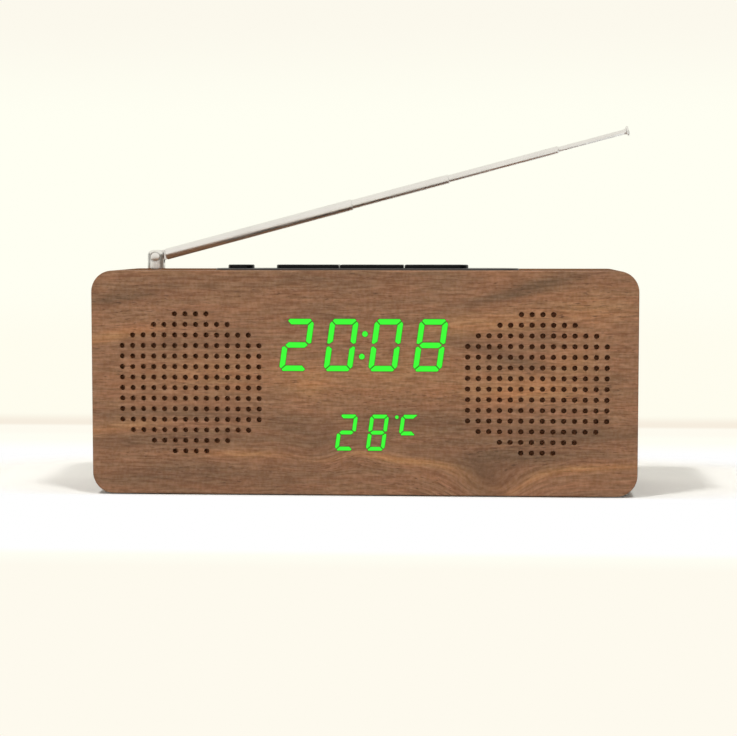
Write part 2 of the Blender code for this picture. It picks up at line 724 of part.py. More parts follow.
def main_board_screw_points():
    return [(-MAIN_SCREW_X, MAIN_BOARD_Z + MAIN_SCREW_Z), (MAIN_SCREW_X, MAIN_BOARD_Z - MAIN_SCREW_Z)]


def rear_screw_points():
    return [(x * REAR_SCREW_X, MID_Z + z * REAR_SCREW_Z) for x in (-1, 1) for z in (-1, 1)]


def screw(name, location, rotation, length, finish_name="zinc_steel"):
    """A crowned screw whose head stands on local Z = 0 and whose shank points down."""
    head = SCREW_HEAD_DIAMETER / 2
    profile = [
        (0, SCREW_HEAD_HEIGHT),
        (head - SCREW_HEAD_CROWN, SCREW_HEAD_HEIGHT),
        (head, 0),
        (SHANK_RADIUS, 0),
        (SHANK_RADIUS, SCREW_POINT - length),
        (0, -length),
    ]
    return finish(turned(name, profile, SMALL_SIDES, location, rotation), finish_name)


def boss_profile(radius, root, top):
    """A round boss with a blind screw hole in its top."""
    floor = top - SCREW_BITE - SEAT_GAP
    return [(0, floor), (PILOT_RADIUS, floor), (PILOT_RADIUS, top), (radius, top), (radius, root), (0, root)]


def pilot(target, x, z, mouth_y, depth):
    """A blind screw hole that opens at mouth_y and runs forward, towards -Y."""
    name = f"{target.name}_pilot_{len(target.modifiers)}"
    return bore(target, name, PILOT_RADIUS, -depth, CUT_OVERRUN, SMALL_SIDES, (x, mouth_y, z), FACING_REAR)


def make_front_panel():
    """The drilled front board, milled thin from behind where the display shines through."""
    location = (0, FRONT_Y + FRONT_THICKNESS / 2, MID_Z)
    panel = plate("front_panel", [cabinet_outline(0)], FRONT_THICKNESS, location, STANDING)
    holes = []
    for side in (-1, 1):
        for x, z in grille_holes():
            holes.append(circle(GRILLE_HOLE_DIAMETER / 2, GRILLE_HOLE_SIDES, side * GRILLE_X + x, z))
    perforate(panel, holes, FRONT_THICKNESS)
    depth = FRONT_THICKNESS - SKIN_THICKNESS + CUT_OVERRUN
    centre = (0, FRONT_Y + SKIN_THICKNESS + depth / 2, WINDOW_Z)
    cut(panel, block("window_cutter", (WINDOW_WIDTH, depth, WINDOW_HEIGHT), centre, helper=True))
    for side in (-1, 1):
        for x, z in speaker_screw_points(side):
            pilot(panel, x, z, PANEL_BACK_Y, SCREW_BITE + SEAT_GAP)
    for x, z in display_screw_points():
        pilot(panel, x, z, PANEL_BACK_Y, SCREW_BITE + SEAT_GAP)
    return finish(panel, "walnut_veneer")


def make_cabinet_shell():
    """The wooden sleeve behind the front board, open at the back."""
    length = REAR_Y - PANEL_BACK_Y - SEAT_GAP
    inner_width = CABINET_WIDTH - 2 * WALL
    inner_height = CABINET_HEIGHT - 2 * WALL
    location = (0, REAR_Y - length / 2, MID_Z)
    shell = plate("cabinet_shell", [cabinet_outline(0)], length, location, STANDING)
    inside = rounded_rectangle(inner_width, inner_height, INNER_CORNER_RADIUS, CORNER_STEPS)
    perforate(shell, [inside], length)
    cut(shell, rebate_cutter())
    for name, inset, floor_z in (
        ("plate_recess_cutter", -SEAT_GAP, TOP_Z - PLATE_RECESS),
        ("control_opening_cutter", PLATE_LIP, TOP_Z - WALL - CUT_OVERRUN),
    ):
        height = TOP_Z + CUT_OVERRUN - floor_z
        spot = (0, CONTROL_Y, floor_z + height / 2)
        cut(shell, plate(name, [plate_outline(inset)], height, spot, helper=True))
    narrow = POST_SHANK_DIAMETER / 2 + SEAT_GAP
    wide = WASHER_RADIUS + COUNTERBORE_ROOM
    low = -WALL - INNER_CORNER_RADIUS
    profile = [
        (0, CUT_OVERRUN),
        (narrow, CUT_OVERRUN),
        (narrow, -ANTENNA_WOOD),
        (wide, -ANTENNA_WOOD),
        (wide, low),
        (0, low),
    ]
    spot = (ANTENNA_X, ANTENNA_Y, TOP_Z)
    cut(shell, turned("antenna_bore_cutter", profile, ROUND_SIDES, spot, helper=True))
    for name, x, y in foot_places():
        radius = FOOT_DIAMETER / 2 + SEAT_GAP
        bore(shell, f"{name}_cutter", radius, -CUT_OVERRUN, FOOT_SOCKET_DEPTH, ROUND_SIDES, (x, y, BASE_Z))
    for x, z in rear_screw_points():
        pilot(shell, x, z, REBATE_Y, REAR_SCREW_BITE + SEAT_GAP)
    return finish(shell, "walnut_veneer")


def rebate_cutter():
    """The step in the sleeve's rear edge that the rear panel drops into."""
    outline = cabinet_outline(WALL - REBATE_WIDTH)
    depth = REAR_Y + CUT_OVERRUN - REBATE_Y
    return plate("rebate_cutter", [outline], depth, (0, REBATE_Y + depth / 2, MID_Z), STANDING, helper=True)


def cabinet_outline(inset):
    """The cabinet's outline drawn in by the same amount all round."""
    width = CABINET_WIDTH - 2 * inset
    height = CABINET_HEIGHT - 2 * inset
    return rounded_rectangle(width, height, CORNER_RADIUS - inset, CORNER_STEPS)


def plate_outline(inset):
    """The control plate's outline drawn in by the same amount all round, about its own middle."""
    half = PLATE_LENGTH / 2 - inset
    return stadium(-half, half, PLATE_DEPTH - 2 * inset, ROUND_STEPS)


def foot_places():
    x = CABINET_WIDTH / 2 - FOOT_INSET_X
    front = FRONT_Y + FOOT_INSET_Y
    rear = REAR_Y - FOOT_INSET_Y
    return [
        ("foot_front_left", -x, front),
        ("foot_front_right", x, front),
        ("foot_rear_left", -x, rear),
        ("foot_rear_right", x, rear),
    ]


def make_feet():
    """Four foam pads let into the bottom."""
    height = FOOT_PROUD + FOOT_SOCKET_DEPTH - SEAT_GAP
    for name, x, y in foot_places():
        finish(bar(name, FOOT_DIAMETER / 2, 0, height, ROUND_SIDES, (x, y, 0)), "foam_pad")


def make_rear_panel():
    """The moulded back, with its sockets' holes, vents, screw recesses and two board bosses."""
    outline = cabinet_outline(WALL - REBATE_WIDTH + SEAT_GAP)
    holes = []
    for side in (-1, 1):
        for i in range(VENT_COUNT):
            x = side * GRILLE_X + (i - (VENT_COUNT - 1) / 2) * VENT_PITCH
            holes.append(rectangle(VENT_WIDTH, VENT_HEIGHT, x, 0))
    for i in range(SENSOR_VENT_COUNT):
        x = SENSOR_X + (i - (SENSOR_VENT_COUNT - 1) / 2) * SENSOR_VENT_PITCH
        holes.append(rectangle(SENSOR_VENT_WIDTH, SENSOR_VENT_HEIGHT, x, SOCKET_Z - MID_Z))
    for x, nose in ((POWER_JACK_X, POWER_JACK_NOSE_DIAMETER), (AUDIO_JACK_X, AUDIO_JACK_NOSE_DIAMETER)):
        holes.append(circle(nose / 2 + SEAT_GAP, ROUND_SIDES, x, SOCKET_Z - MID_Z))
    location = (0, REAR_PANEL_OUTER_Y - REAR_PANEL_THICKNESS / 2, MID_Z)
    panel = plate("rear_panel", [outline], REAR_PANEL_THICKNESS, location, STANDING)
    perforate(panel, holes, REAR_PANEL_THICKNESS)
    wide = SCREW_HEAD_DIAMETER / 2 + SEAT_GAP
    head_y = REAR_PANEL_OUTER_Y - SCREW_HEAD_HEIGHT - SEAT_GAP
    step = head_y - SEAT_GAP - REAR_PANEL_OUTER_Y
    low = -REAR_PANEL_THICKNESS - CUT_OVERRUN
    recess = [
        (0, CUT_OVERRUN),
        (wide, CUT_OVERRUN),
        (wide, step),
        (PILOT_RADIUS, step),
        (PILOT_RADIUS, low),
        (0, low),
    ]
    length = head_y - REBATE_Y + REAR_SCREW_BITE
    for i, (x, z) in enumerate(rear_screw_points()):
        spot = (x, REAR_PANEL_OUTER_Y, z)
        cut(panel, turned(f"rear_recess_{i + 1}", recess, SMALL_SIDES, spot, FACING_REAR, helper=True))
        screw(f"rear_screw_{i + 1}", (x, head_y, z), FACING_REAR, length, "black_screw")
    for i, (x, z) in enumerate(main_board_screw_points()):
        profile = boss_profile(MAIN_BOSS_DIAMETER / 2, -REAR_PANEL_THICKNESS / 2, MAIN_BOSS_HEIGHT)
        spot = (x, REAR_PANEL_INNER_Y, z)
        fuse(panel, turned(f"main_boss_{i + 1}", profile, ROUND_SIDES, spot, FACING_FRONT, helper=True))
    return finish(panel, "rear_plastic")


def make_display():
    """The diffuser film, the reflector with its light wells and the lamp board behind them."""
    width = WINDOW_WIDTH - 2 * SEAT_GAP
    height = WINDOW_HEIGHT - 2 * SEAT_GAP
    size = (width, DIFFUSER_THICKNESS, height)
    middle_y = DIFFUSER_Y + DIFFUSER_THICKNESS / 2
    finish(block("display_diffuser", size, (0, middle_y, WINDOW_Z)), "diffuser_film")
    depth = DISPLAY_BOARD_Y - SEAT_GAP - REFLECTOR_Y
    wells = [[(x, z - WINDOW_Z) for x, z in loop] for loop in display_loops()]
    location = (0, REFLECTOR_Y + depth / 2, WINDOW_Z)
    reflector = plate("display_reflector", [rectangle(width, height)], depth, location, STANDING)
    finish(perforate(reflector, wells, depth), "white_reflector")
    width = WINDOW_WIDTH + 2 * DISPLAY_BOARD_MARGIN_X
    height = WINDOW_HEIGHT + 2 * DISPLAY_BOARD_MARGIN_Z
    outline = rectangle(width, height)
    holes = [circle(PILOT_RADIUS, SMALL_SIDES, x, z - WINDOW_Z) for x, z in display_screw_points()]
    middle_y = DISPLAY_BOARD_Y + CIRCUIT_BOARD_THICKNESS / 2
    board = plate("display_board", [outline], CIRCUIT_BOARD_THICKNESS, (0, middle_y, WINDOW_Z), STANDING)
    finish(perforate(board, holes, CIRCUIT_BOARD_THICKNESS), "circuit_board")
    head_y = DISPLAY_BOARD_Y + CIRCUIT_BOARD_THICKNESS + SEAT_GAP
    for i, (x, z) in enumerate(display_screw_points()):
        screw(f"display_screw_{i + 1}", (x, head_y, z), FACING_REAR, head_y - PANEL_BACK_Y + SCREW_BITE)


def make_cloth(side, name):
    """Cloth glued behind a grille, its corners cut off before they reach the speaker's screws."""
    half = GRILLE_SPAN / 2 + CLOTH_MARGIN
    corner = SPEAKER_SCREW_PITCH - DIAGONAL * (SHANK_RADIUS + SEAT_GAP) - half
    outline = []
    for x, z in ((half, -corner), (half, corner)):
        outline += [(x, z), (z, x)] if z > 0 else [(-z, -x), (x, z)]
    outline += [(-x, -z) for x, z in outline]
    location = (side * GRILLE_X, CLOTH_Y + CLOTH_THICKNESS / 2, MID_Z)
    finish(plate(f"{name}_cloth", [outline], CLOTH_THICKNESS, location, STANDING), "speaker_cloth")


def make_speaker(side, name):
    """A round speaker: its basket on a square flange, its cone with the coil, and its magnet."""
    centre = (side * GRILLE_X, SPEAKER_Y, MID_Z)
    reach = SPEAKER_SCREW_PITCH / 2
    outline = rounded_rectangle(SPEAKER_FLANGE_WIDTH, SPEAKER_FLANGE_WIDTH, SPEAKER_FLANGE_RADIUS, 2)
    holes = [circle(PILOT_RADIUS, SMALL_SIDES, sign * side * reach, -sign * reach) for sign in (-1, 1)]
    middle = (centre[0], SPEAKER_Y + SPEAKER_FLANGE_THICKNESS / 2, MID_Z)
    frame = plate(f"{name}_frame", [outline], SPEAKER_FLANGE_THICKNESS, middle, STANDING)
    basket, hollow = basket_profiles()
    fuse(frame, turned(f"{name}_basket", basket, SPEAKER_SIDES, centre, FACING_REAR, helper=True))
    cut(frame, turned(f"{name}_basket_hollow", hollow, SPEAKER_SIDES, centre, FACING_REAR, helper=True))
    for turn in (0, math.pi / 2):
        height = SPEAKER_BASKET_DEPTH - SPEAKER_SPIDER_HEIGHT - SPEAKER_BASKET_WALL - SPEAKER_WINDOW_TOP
        size = (SPEAKER_FLANGE_WIDTH, height, SPEAKER_WINDOW_WIDTH)
        spot = (centre[0], SPEAKER_Y + SPEAKER_WINDOW_TOP + height / 2, MID_Z)
        cut(frame, block(f"{name}_window", size, spot, (0, turn, 0), helper=True))
    perforate(frame, holes, SPEAKER_FLANGE_THICKNESS)
    finish(frame, "zinc_steel")
    cone = turned(f"{name}_cone", cone_profile(), SPEAKER_SIDES, centre, FACING_REAR)
    finish(cone, "speaker_paper")
    magnet = turned(f"{name}_magnet", magnet_profile(), SPEAKER_SIDES, centre, FACING_REAR)
    finish(magnet, "ferrite")
    head_y = SPEAKER_Y + SPEAKER_FLANGE_THICKNESS + SEAT_GAP
    for i, (x, z) in enumerate(speaker_screw_points(side)):
        screw(f"{name}_screw_{i + 1}", (x, head_y, z), FACING_REAR, head_y - PANEL_BACK_Y + SCREW_BITE)


def basket_profiles():
    """The pressed basket's outside and its hollow, from the mouth back to the ring on the magnet."""
    wall = SPEAKER_BASKET_WALL
    mouth = SPEAKER_MOUTH_RADIUS
    shoulder = SPEAKER_BASKET_DEPTH - SPEAKER_SPIDER_HEIGHT
    outside = [
        (0, SPEAKER_BASKET_DEPTH),
        (MAGNET_RADIUS, SPEAKER_BASKET_DEPTH),
        (MAGNET_RADIUS, shoulder),
        (mouth + wall, SPEAKER_BASKET_STEP),
        (mouth + wall, SPEAKER_FLANGE_THICKNESS / 2),
        (0, SPEAKER_FLANGE_THICKNESS / 2),
    ]
    hollow = [
        (0, SPEAKER_BASKET_DEPTH + CUT_OVERRUN),
        (SPEAKER_THROAT_RADIUS, SPEAKER_BASKET_DEPTH + CUT_OVERRUN),
        (SPEAKER_THROAT_RADIUS, shoulder),
        (MAGNET_RADIUS - wall, shoulder),
        (mouth, SPEAKER_BASKET_STEP),
        (mouth, -CUT_OVERRUN),
        (0, -CUT_OVERRUN),
    ]
    return outside, hollow


def cone_profile():
    """Back of the coil, up its outside to the roll at the rim, then the front down to the dust cap."""
    rim = SPEAKER_MOUTH_RADIUS - 2 * SEAT_GAP
    roll = rim - CONE_ROLL_WIDTH
    coil = COIL_RADIUS + COIL_WALL
    end = SPEAKER_BASKET_DEPTH + SEAT_GAP + COIL_REACH
    back = CONE_WALL
    return [
        (0, CONE_THROAT_DEPTH - DUST_CAP_RISE + back),
        (COIL_RADIUS, CONE_THROAT_DEPTH + back),
        (COIL_RADIUS, end),
        (coil, end),
        (coil, CONE_THROAT_DEPTH + back),
        (roll, CONE_REST_DEPTH + back),
        (rim - CONE_ROLL_WIDTH / 2, CONE_REST_DEPTH - CONE_ROLL_HEIGHT + back),
        (rim, CONE_REST_DEPTH + back),
        (rim, CONE_REST_DEPTH),
        (rim - CONE_ROLL_WIDTH / 2, CONE_REST_DEPTH - CONE_ROLL_HEIGHT),
        (roll, CONE_REST_DEPTH),
        (COIL_RADIUS, CONE_THROAT_DEPTH),
        (0, CONE_THROAT_DEPTH - DUST_CAP_RISE),
    ]


def magnet_profile():
    """The ring magnet and its pole, with the slot that the coil moves in."""
    front = SPEAKER_BASKET_DEPTH + SEAT_GAP
    rear = front + MAGNET_DEPTH
    slot = COIL_RADIUS + COIL_WALL + COIL_PLAY
    return [
        (0, rear),
        (MAGNET_RADIUS, rear),
        (MAGNET_RADIUS, front),
        (slot, front),
        (slot, front + MAGNET_GAP_DEPTH),
        (POLE_RADIUS, front + MAGNET_GAP_DEPTH),
        (POLE_RADIUS, front),
        (0, front),
    ]


def make_control_plate():
    """The black plate on top, with openings for the round button and the keys, and two screw bosses."""
    height = TOP_Z + PLATE_PROUD - PLATE_BOTTOM_Z
    half = KEY_GROUP_LENGTH / 2 + SEAT_GAP
    keys = stadium(KEY_GROUP_SHIFT - half, KEY_GROUP_SHIFT + half, KEY_DEPTH + 2 * SEAT_GAP, ROUND_STEPS)
    round_hole = circle(ROUND_BUTTON_DIAMETER / 2 + SEAT_GAP, 2 * ROUND_STEPS, ROUND_BUTTON_X, 0)
    location = (0, CONTROL_Y, PLATE_BOTTOM_Z + height / 2)
    top = plate("control_plate", [plate_outline(0)], height, location)
    round_edges(top, PLATE_BEVEL)
    perforate(top, [keys, round_hole], height)
    reach = PLATE_BOTTOM_Z - BUTTON_BOARD_TOP - SEAT_GAP
    for i, x in enumerate(BOSS_X):
        profile = boss_profile(BOSS_DIAMETER / 2, -height / 2, reach)
        spot = (x, CONTROL_Y, PLATE_BOTTOM_Z)
        fuse(top, turned(f"plate_boss_{i + 1}", profile, ROUND_SIDES, spot, FACING_DOWN, helper=True))
    return finish(top, "black_plastic")


def make_key(name, x, body_loop, flange_loop):
    """A key: its cap above the plate, a flange under it and a stem that reaches into its switch."""
    body_height = TOP_Z + KEY_PROUD - KEY_FLANGE_TOP + KEY_FLANGE_THICKNESS / 2
    body_z = TOP_Z + KEY_PROUD - body_height / 2
    key = plate(name, [body_loop], body_height, (x, CONTROL_Y, body_z))
    round_edges(key, KEY_BEVEL)
    flange_z = KEY_FLANGE_BOTTOM + KEY_FLANGE_THICKNESS / 2
    spot = (x, CONTROL_Y, flange_z)
    fuse(key, plate(f"{name}_flange", [flange_loop], KEY_FLANGE_THICKNESS, spot, helper=True))
    reach = SWITCH_TOP - KEY_STEM_REACH - flange_z
    stud(key, f"{name}_stem", KEY_STEM_DIAMETER / 2, reach, 0, SMALL_SIDES, spot)
    return finish(key, "black_plastic")


def key_places():
    """Each key of the split strip: name, middle, and whether its ends are round."""
    names = ("key_left", "key_middle", "key_right")
    for i, name in enumerate(names):
        x = KEY_GROUP_SHIFT + (i - (KEY_COUNT - 1) / 2) * (KEY_LENGTH + KEY_SPLIT)
        yield name, x, i == 0, i == KEY_COUNT - 1


def make_controls():
    """The round button, the three keys, and a switch on the button board under each."""
    half = KEY_LENGTH / 2
    for name, x, first, last in key_places():
        body = stadium(-half, half, KEY_DEPTH, ROUND_STEPS, first, last)
        left = half + (KEY_FLANGE if first else 0)
        right = half + (KEY_FLANGE if last else 0)
        flange = stadium(-left, right, KEY_DEPTH + 2 * KEY_FLANGE, ROUND_STEPS, first, last)
        make_key(name, x, body, flange)
        make_switch(name.replace("key", "switch"), x)
    radius = ROUND_BUTTON_DIAMETER / 2
    body = circle(radius, 2 * ROUND_STEPS)
    flange = circle(radius + KEY_FLANGE, 2 * ROUND_STEPS)
    make_key("power_button", ROUND_BUTTON_X, body, flange)
    make_switch("switch_power", ROUND_BUTTON_X)
    make_button_board()


def make_switch(name, x):
    """A square push switch with the well that a key's stem presses into."""
    location = (x, CONTROL_Y, SWITCH_TOP - SWITCH_HEIGHT / 2)
    switch = block(name, (SWITCH_WIDTH, SWITCH_WIDTH, SWITCH_HEIGHT), location)
    radius = KEY_STEM_DIAMETER / 2 + SEAT_GAP
    spot = (x, CONTROL_Y, SWITCH_TOP)
    bore(switch, f"{name}_well", radius, -SWITCH_WELL_DEPTH, CUT_OVERRUN, SMALL_SIDES, spot)
    return finish(switch, "switch_plastic")


def make_button_board():
    """The board that carries the switches, hung from the plate's bosses."""
    outline = plate_outline(PLATE_LIP + BUTTON_BOARD_ROOM)
    holes = [circle(PILOT_RADIUS, SMALL_SIDES, x, 0) for x in BOSS_X]
    location = (0, CONTROL_Y, BUTTON_BOARD_TOP - BUTTON_BOARD_THICKNESS / 2)
    board = plate("button_board", [outline], BUTTON_BOARD_THICKNESS, location)
    finish(perforate(board, holes, BUTTON_BOARD_THICKNESS), "circuit_board")
    seat = BUTTON_BOARD_TOP - BUTTON_BOARD_THICKNESS - SEAT_GAP
    for side, x in zip(("left", "right"), BOSS_X):
        length = BUTTON_BOARD_TOP + SEAT_GAP - seat + SCREW_BITE
        screw(f"button_board_screw_{side}", (x, CONTROL_Y, seat), FACING_DOWN, length)


def make_antenna_post(swivel):
    """The turning post: a slotted, crowned head on a shank that goes down through the wood."""
    radius = POST_DIAMETER / 2
    crown = [(radius * across, POST_CROWN_HEIGHT * up) for across, up in reversed(POST_SHOULDER_SHARES)]
    foot = SEAT_GAP - POST_PIVOT_HEIGHT
    shank = POST_SHANK_DIAMETER / 2
    nut_bottom = -ANTENNA_WOOD - 2 * SEAT_GAP - WASHER_THICKNESS - SEAT_GAP - NUT_HEIGHT
    end = nut_bottom - SHANK_END - POST_PIVOT_HEIGHT
    profile = [(0, POST_CROWN_HEIGHT), *crown, (radius, foot), (shank, foot), (shank, end), (0, end)]
    post = turned("antenna_post", profile, POST_SIDES, (0, 0, 0), parent=swivel)
    slot_width = TANG_THICKNESS + 2 * SEAT_GAP
    floor = -TANG_RADIUS - SEAT_GAP
    height = POST_CROWN_HEIGHT + CUT_OVERRUN - floor
    size = (POST_DIAMETER + CUT_OVERRUN, slot_width, height)
    cut(post, block("fork_slot_cutter", size, (0, 0, floor + height / 2), parent=swivel, helper=True))
    half = radius + CUT_OVERRUN
    hole = RIVET_DIAMETER / 2 + PIVOT_GAP
    bore(post, "fork_hole_cutter", hole, -half, half, ROUND_SIDES, (0, 0, 0), STANDING, swivel)
    seat = rivet_seat()
    head = RIVET_HEAD_DIAMETER / 2 + SEAT_GAP
    for name, turn in (("front", FACING_FRONT), ("rear", FACING_REAR)):
        bore(post, f"rivet_seat_{name}", head, seat, half, ROUND_SIDES, (0, 0, 0), turn, swivel)
    return finish(post, "chrome")


def rivet_seat():
    """How far from the post's middle the flats are that the rivet's heads lie on."""
    radius = POST_DIAMETER / 2
    head = RIVET_HEAD_DIAMETER / 2 + SEAT_GAP
    return math.sqrt(radius * radius - head * head) - SEAT_GAP


def make_rivet(swivel):
    """The pivot rivet, headed at both ends, through the fork and the mast's tang."""
    seat = rivet_seat() + SEAT_GAP
    end = seat + RIVET_HEAD_HEIGHT
    head = RIVET_HEAD_DIAMETER / 2
    shaft = RIVET_DIAMETER / 2
    upper = [(0, end), (shaft, end), (head, seat), (shaft, seat)]
    profile = upper + [(across, -along) for across, along in reversed(upper)]
    rivet = turned("antenna_rivet", profile, ROUND_SIDES, (0, 0, 0), STANDING, swivel)
    return finish(rivet, "chrome")


def make_antenna_fixings(swivel):
    """The soldering washer under the wood and the nut that holds the post down on it."""
    hole = POST_SHANK_DIAMETER / 2 + SEAT_GAP
    low = -WASHER_THICKNESS
    profile = [(WASHER_RADIUS, 0), (WASHER_RADIUS, low), (hole, low), (hole, 0)]
    spot = (ANTENNA_X, ANTENNA_Y, WASHER_TOP_Z)
    washer = turned("antenna_washer", profile, ROUND_SIDES, spot, closed=True)
    spot = (ANTENNA_X + TAG_X, ANTENNA_Y, TAG_END_Z + TAG_LENGTH / 2)
    fuse(washer, block("antenna_tag", (TAG_THICKNESS, TAG_WIDTH, TAG_LENGTH), spot, helper=True))
    finish(washer, "zinc_steel")
    middle = WASHER_TOP_Z - WASHER_THICKNESS - SEAT_GAP - NUT_HEIGHT / 2 - PIVOT_Z
    outline = circle(NUT_CORNER_RADIUS, NUT_SIDES)
    nut = plate("antenna_nut", [outline], NUT_HEIGHT, (0, 0, middle), parent=swivel)
    finish(perforate(nut, [circle(hole, ROUND_SIDES)], NUT_HEIGHT), "zinc_steel")


def crimped(radius, wall, end):
    """The rolled-in rim at a tube's outer end."""
    return [(radius - wall * CRIMP_SHARE, end), (radius, end - CRIMP_LENGTH)]


def make_mast(tilt):
    """The outer tube of the antenna, on a flat tang that turns in the post's fork."""
    bore_floor = TUBE_1_START + TUBE_1_PLUG
    profile = [
        (0, bore_floor),
        (TUBE_1_BORE, bore_floor),
        (TUBE_1_BORE, TUBE_1_END),
        *crimped(TUBE_1_RADIUS, TUBE_1_WALL, TUBE_1_END),
        (TUBE_1_RADIUS, TUBE_1_START),
        (0, TUBE_1_START),
    ]
    tube = turned("antenna_tube_1", profile, TUBE_SIDES, (0, 0, 0), parent=tilt)
    half = TANG_THICKNESS / 2
    tang = bar("tang_eye", TANG_RADIUS, -half, half, ROUND_SIDES, (0, 0, 0), STANDING, tilt, helper=True)
    length = TUBE_1_START + TUBE_1_PLUG / 2
    size = (2 * TANG_RADIUS, TANG_THICKNESS, length)
    strap = block("tang_strap", size, (0, 0, length / 2), parent=tilt, helper=True)
    fuse(tube, fuse(tang, strap))
    hole = RIVET_DIAMETER / 2 + PIVOT_GAP
    far = TANG_THICKNESS + CUT_OVERRUN
    bore(tube, "tang_hole_cutter", hole, -far, far, ROUND_SIDES, (0, 0, 0), STANDING, tilt)
    return finish(tube, "chrome")


def make_sliding_tube(name, bore, radius, end, length, tilt):
    """A tube that slides in the one before it, open at both ends. Its origin is its outer end."""
    profile = [(bore, 0), *crimped(radius, radius - bore, 0), (radius, -length), (bore, -length)]
    return finish(turned(name, profile, TUBE_SIDES, (0, 0, end), parent=tilt, closed=True), "chrome")


def make_tip_rod(tilt):
    """The solid last section with the flared button on its end. Its origin is where the button starts."""
    tip = TIP_DIAMETER / 2
    profile = [
        (0, TIP_LENGTH),
        (tip, TIP_LENGTH),
        (tip, TIP_LENGTH - TIP_RIM),
        (TIP_ROD_RADIUS, 0),
        (TIP_ROD_RADIUS, -TIP_ROD_LENGTH),
        (0, -TIP_ROD_LENGTH),
    ]
    return finish(turned("antenna_tip_rod", profile, TUBE_SIDES, (0, 0, TIP_ROD_END), parent=tilt), "chrome")


def make_antenna():
    """The whole antenna on two axes: a swivel about Z, and on it a tilt whose local Z is the mast."""
    swivel = empty("antenna_swivel_axis", (ANTENNA_X, ANTENNA_Y, PIVOT_Z))
    tilt = empty("antenna_tilt_axis", (0, 0, 0), (0, math.pi / 2 - ANTENNA_REST_ANGLE, 0), swivel)
    make_antenna_post(swivel)
    make_rivet(swivel)
    make_antenna_fixings(swivel)
    make_mast(tilt)
    make_sliding_tube("antenna_tube_2", TUBE_2_BORE, TUBE_2_RADIUS, TUBE_2_END, TUBE_2_LENGTH, tilt)
    make_sliding_tube("antenna_tube_3", TUBE_3_BORE, TUBE_3_RADIUS, TUBE_3_END, TUBE_3_LENGTH, tilt)
    make_tip_rod(tilt)


def make_main_board():
    """The main board on the rear panel's bosses, with its chip and capacitor."""
    holes = [circle(PILOT_RADIUS, SMALL_SIDES, x, z - MAIN_BOARD_Z) for x, z in main_board_screw_points()]
    outline = rectangle(MAIN_BOARD_LENGTH, MAIN_BOARD_HEIGHT)
    middle_y = MAIN_BOARD_FRONT_Y + CIRCUIT_BOARD_THICKNESS / 2
    location = (0, middle_y, MAIN_BOARD_Z)
    board = plate("main_board", [outline], CIRCUIT_BOARD_THICKNESS, location, STANDING)
    perforate(board, holes, CIRCUIT_BOARD_THICKNESS)
    chip_depth = CHIP_HEIGHT + CIRCUIT_BOARD_THICKNESS / 2
    spot = (CHIP_X, middle_y - chip_depth / 2, MAIN_BOARD_Z + CHIP_RISE)
    fuse(board, block("main_chip", (CHIP_WIDTH, chip_depth, CHIP_WIDTH), spot, helper=True))
    spot = (CAPACITOR_X, middle_y, MAIN_BOARD_Z + CHIP_RISE)
    reach = CAPACITOR_LENGTH + CIRCUIT_BOARD_THICKNESS / 2
    stud(board, "main_capacitor", CAPACITOR_DIAMETER / 2, 0, reach, SMALL_SIDES, spot, FACING_FRONT)
    finish(board, "circuit_board")
    head_y = MAIN_BOARD_FRONT_Y - SEAT_GAP
    for i, (x, z) in enumerate(main_board_screw_points()):
        length = REAR_PANEL_INNER_Y - MAIN_BOSS_HEIGHT - head_y + SCREW_BITE
        screw(f"main_board_screw_{i + 1}", (x, head_y, z), FACING_FRONT, length)


def make_socket(name, x, width, nose, opening, pin=0):
    """A socket between board and panel: its nose fills the panel's hole and its bore opens to the rear."""
    rear = REAR_PANEL_INNER_Y - SEAT_GAP
    front = MAIN_BOARD_REAR_Y + SEAT_GAP
    socket = block(name, (width, rear - front, width), (x, (rear + front) / 2, SOCKET_Z))
    mouth = REAR_PANEL_OUTER_Y - SOCKET_SINK
    spot = (x, mouth, SOCKET_Z)
    floor = (front - mouth) * SOCKET_DEPTH_SHARE
    middle = (rear + front) / 2 - mouth
    stud(socket, f"{name}_nose", nose / 2, middle, 0, ROUND_SIDES, spot, FACING_REAR)
    hollow = [(0, CUT_OVERRUN), (opening / 2, CUT_OVERRUN), (opening / 2, floor), (0, floor)]
    if pin:
        hollow[3:] = [(pin / 2, floor), (pin / 2, -SOCKET_PIN_DROP), (0, -SOCKET_PIN_DROP)]
    cut(socket, turned(f"{name}_bore", hollow, ROUND_SIDES, spot, FACING_REAR, helper=True))
    return finish(socket, "black_plastic")


def make_sockets():
    """The power socket with its pin, and the smaller socket for a sound lead."""
    make_socket(
        "power_jack",
        POWER_JACK_X,
        POWER_JACK_WIDTH,
        POWER_JACK_NOSE_DIAMETER,
        POWER_JACK_BORE_DIAMETER,
        POWER_JACK_PIN_DIAMETER,
    )
    make_socket(
        "audio_jack", AUDIO_JACK_X, AUDIO_JACK_WIDTH, AUDIO_JACK_NOSE_DIAMETER, AUDIO_JACK_BORE_DIAMETER
    )


def make_coin_cell():
    """The clock's backup cell in its holder, on the front of the main board."""
    inner = COIN_CELL_DIAMETER / 2 + SEAT_GAP
    outer = inner + CELL_HOLDER_WALL
    lip = CELL_HOLDER_FLOOR + SEAT_GAP + COIN_CELL_THICKNESS * CELL_HOLDER_LIP_SHARE
    at = (CELL_HOLDER_X, MAIN_BOARD_FRONT_Y - SEAT_GAP, MAIN_BOARD_Z)
    floor = CELL_HOLDER_FLOOR
    profile = [(0, floor), (inner, floor), (inner, lip), (outer, lip), (outer, 0), (0, 0)]
    finish(turned("coin_cell_holder", profile, POST_SIDES, at, FACING_FRONT), "switch_plastic")
    low = CELL_HOLDER_FLOOR + SEAT_GAP
    high = low + COIN_CELL_THICKNESS
    finish(bar("coin_cell", COIN_CELL_DIAMETER / 2, low, high, POST_SIDES, at, FACING_FRONT), "zinc_steel")


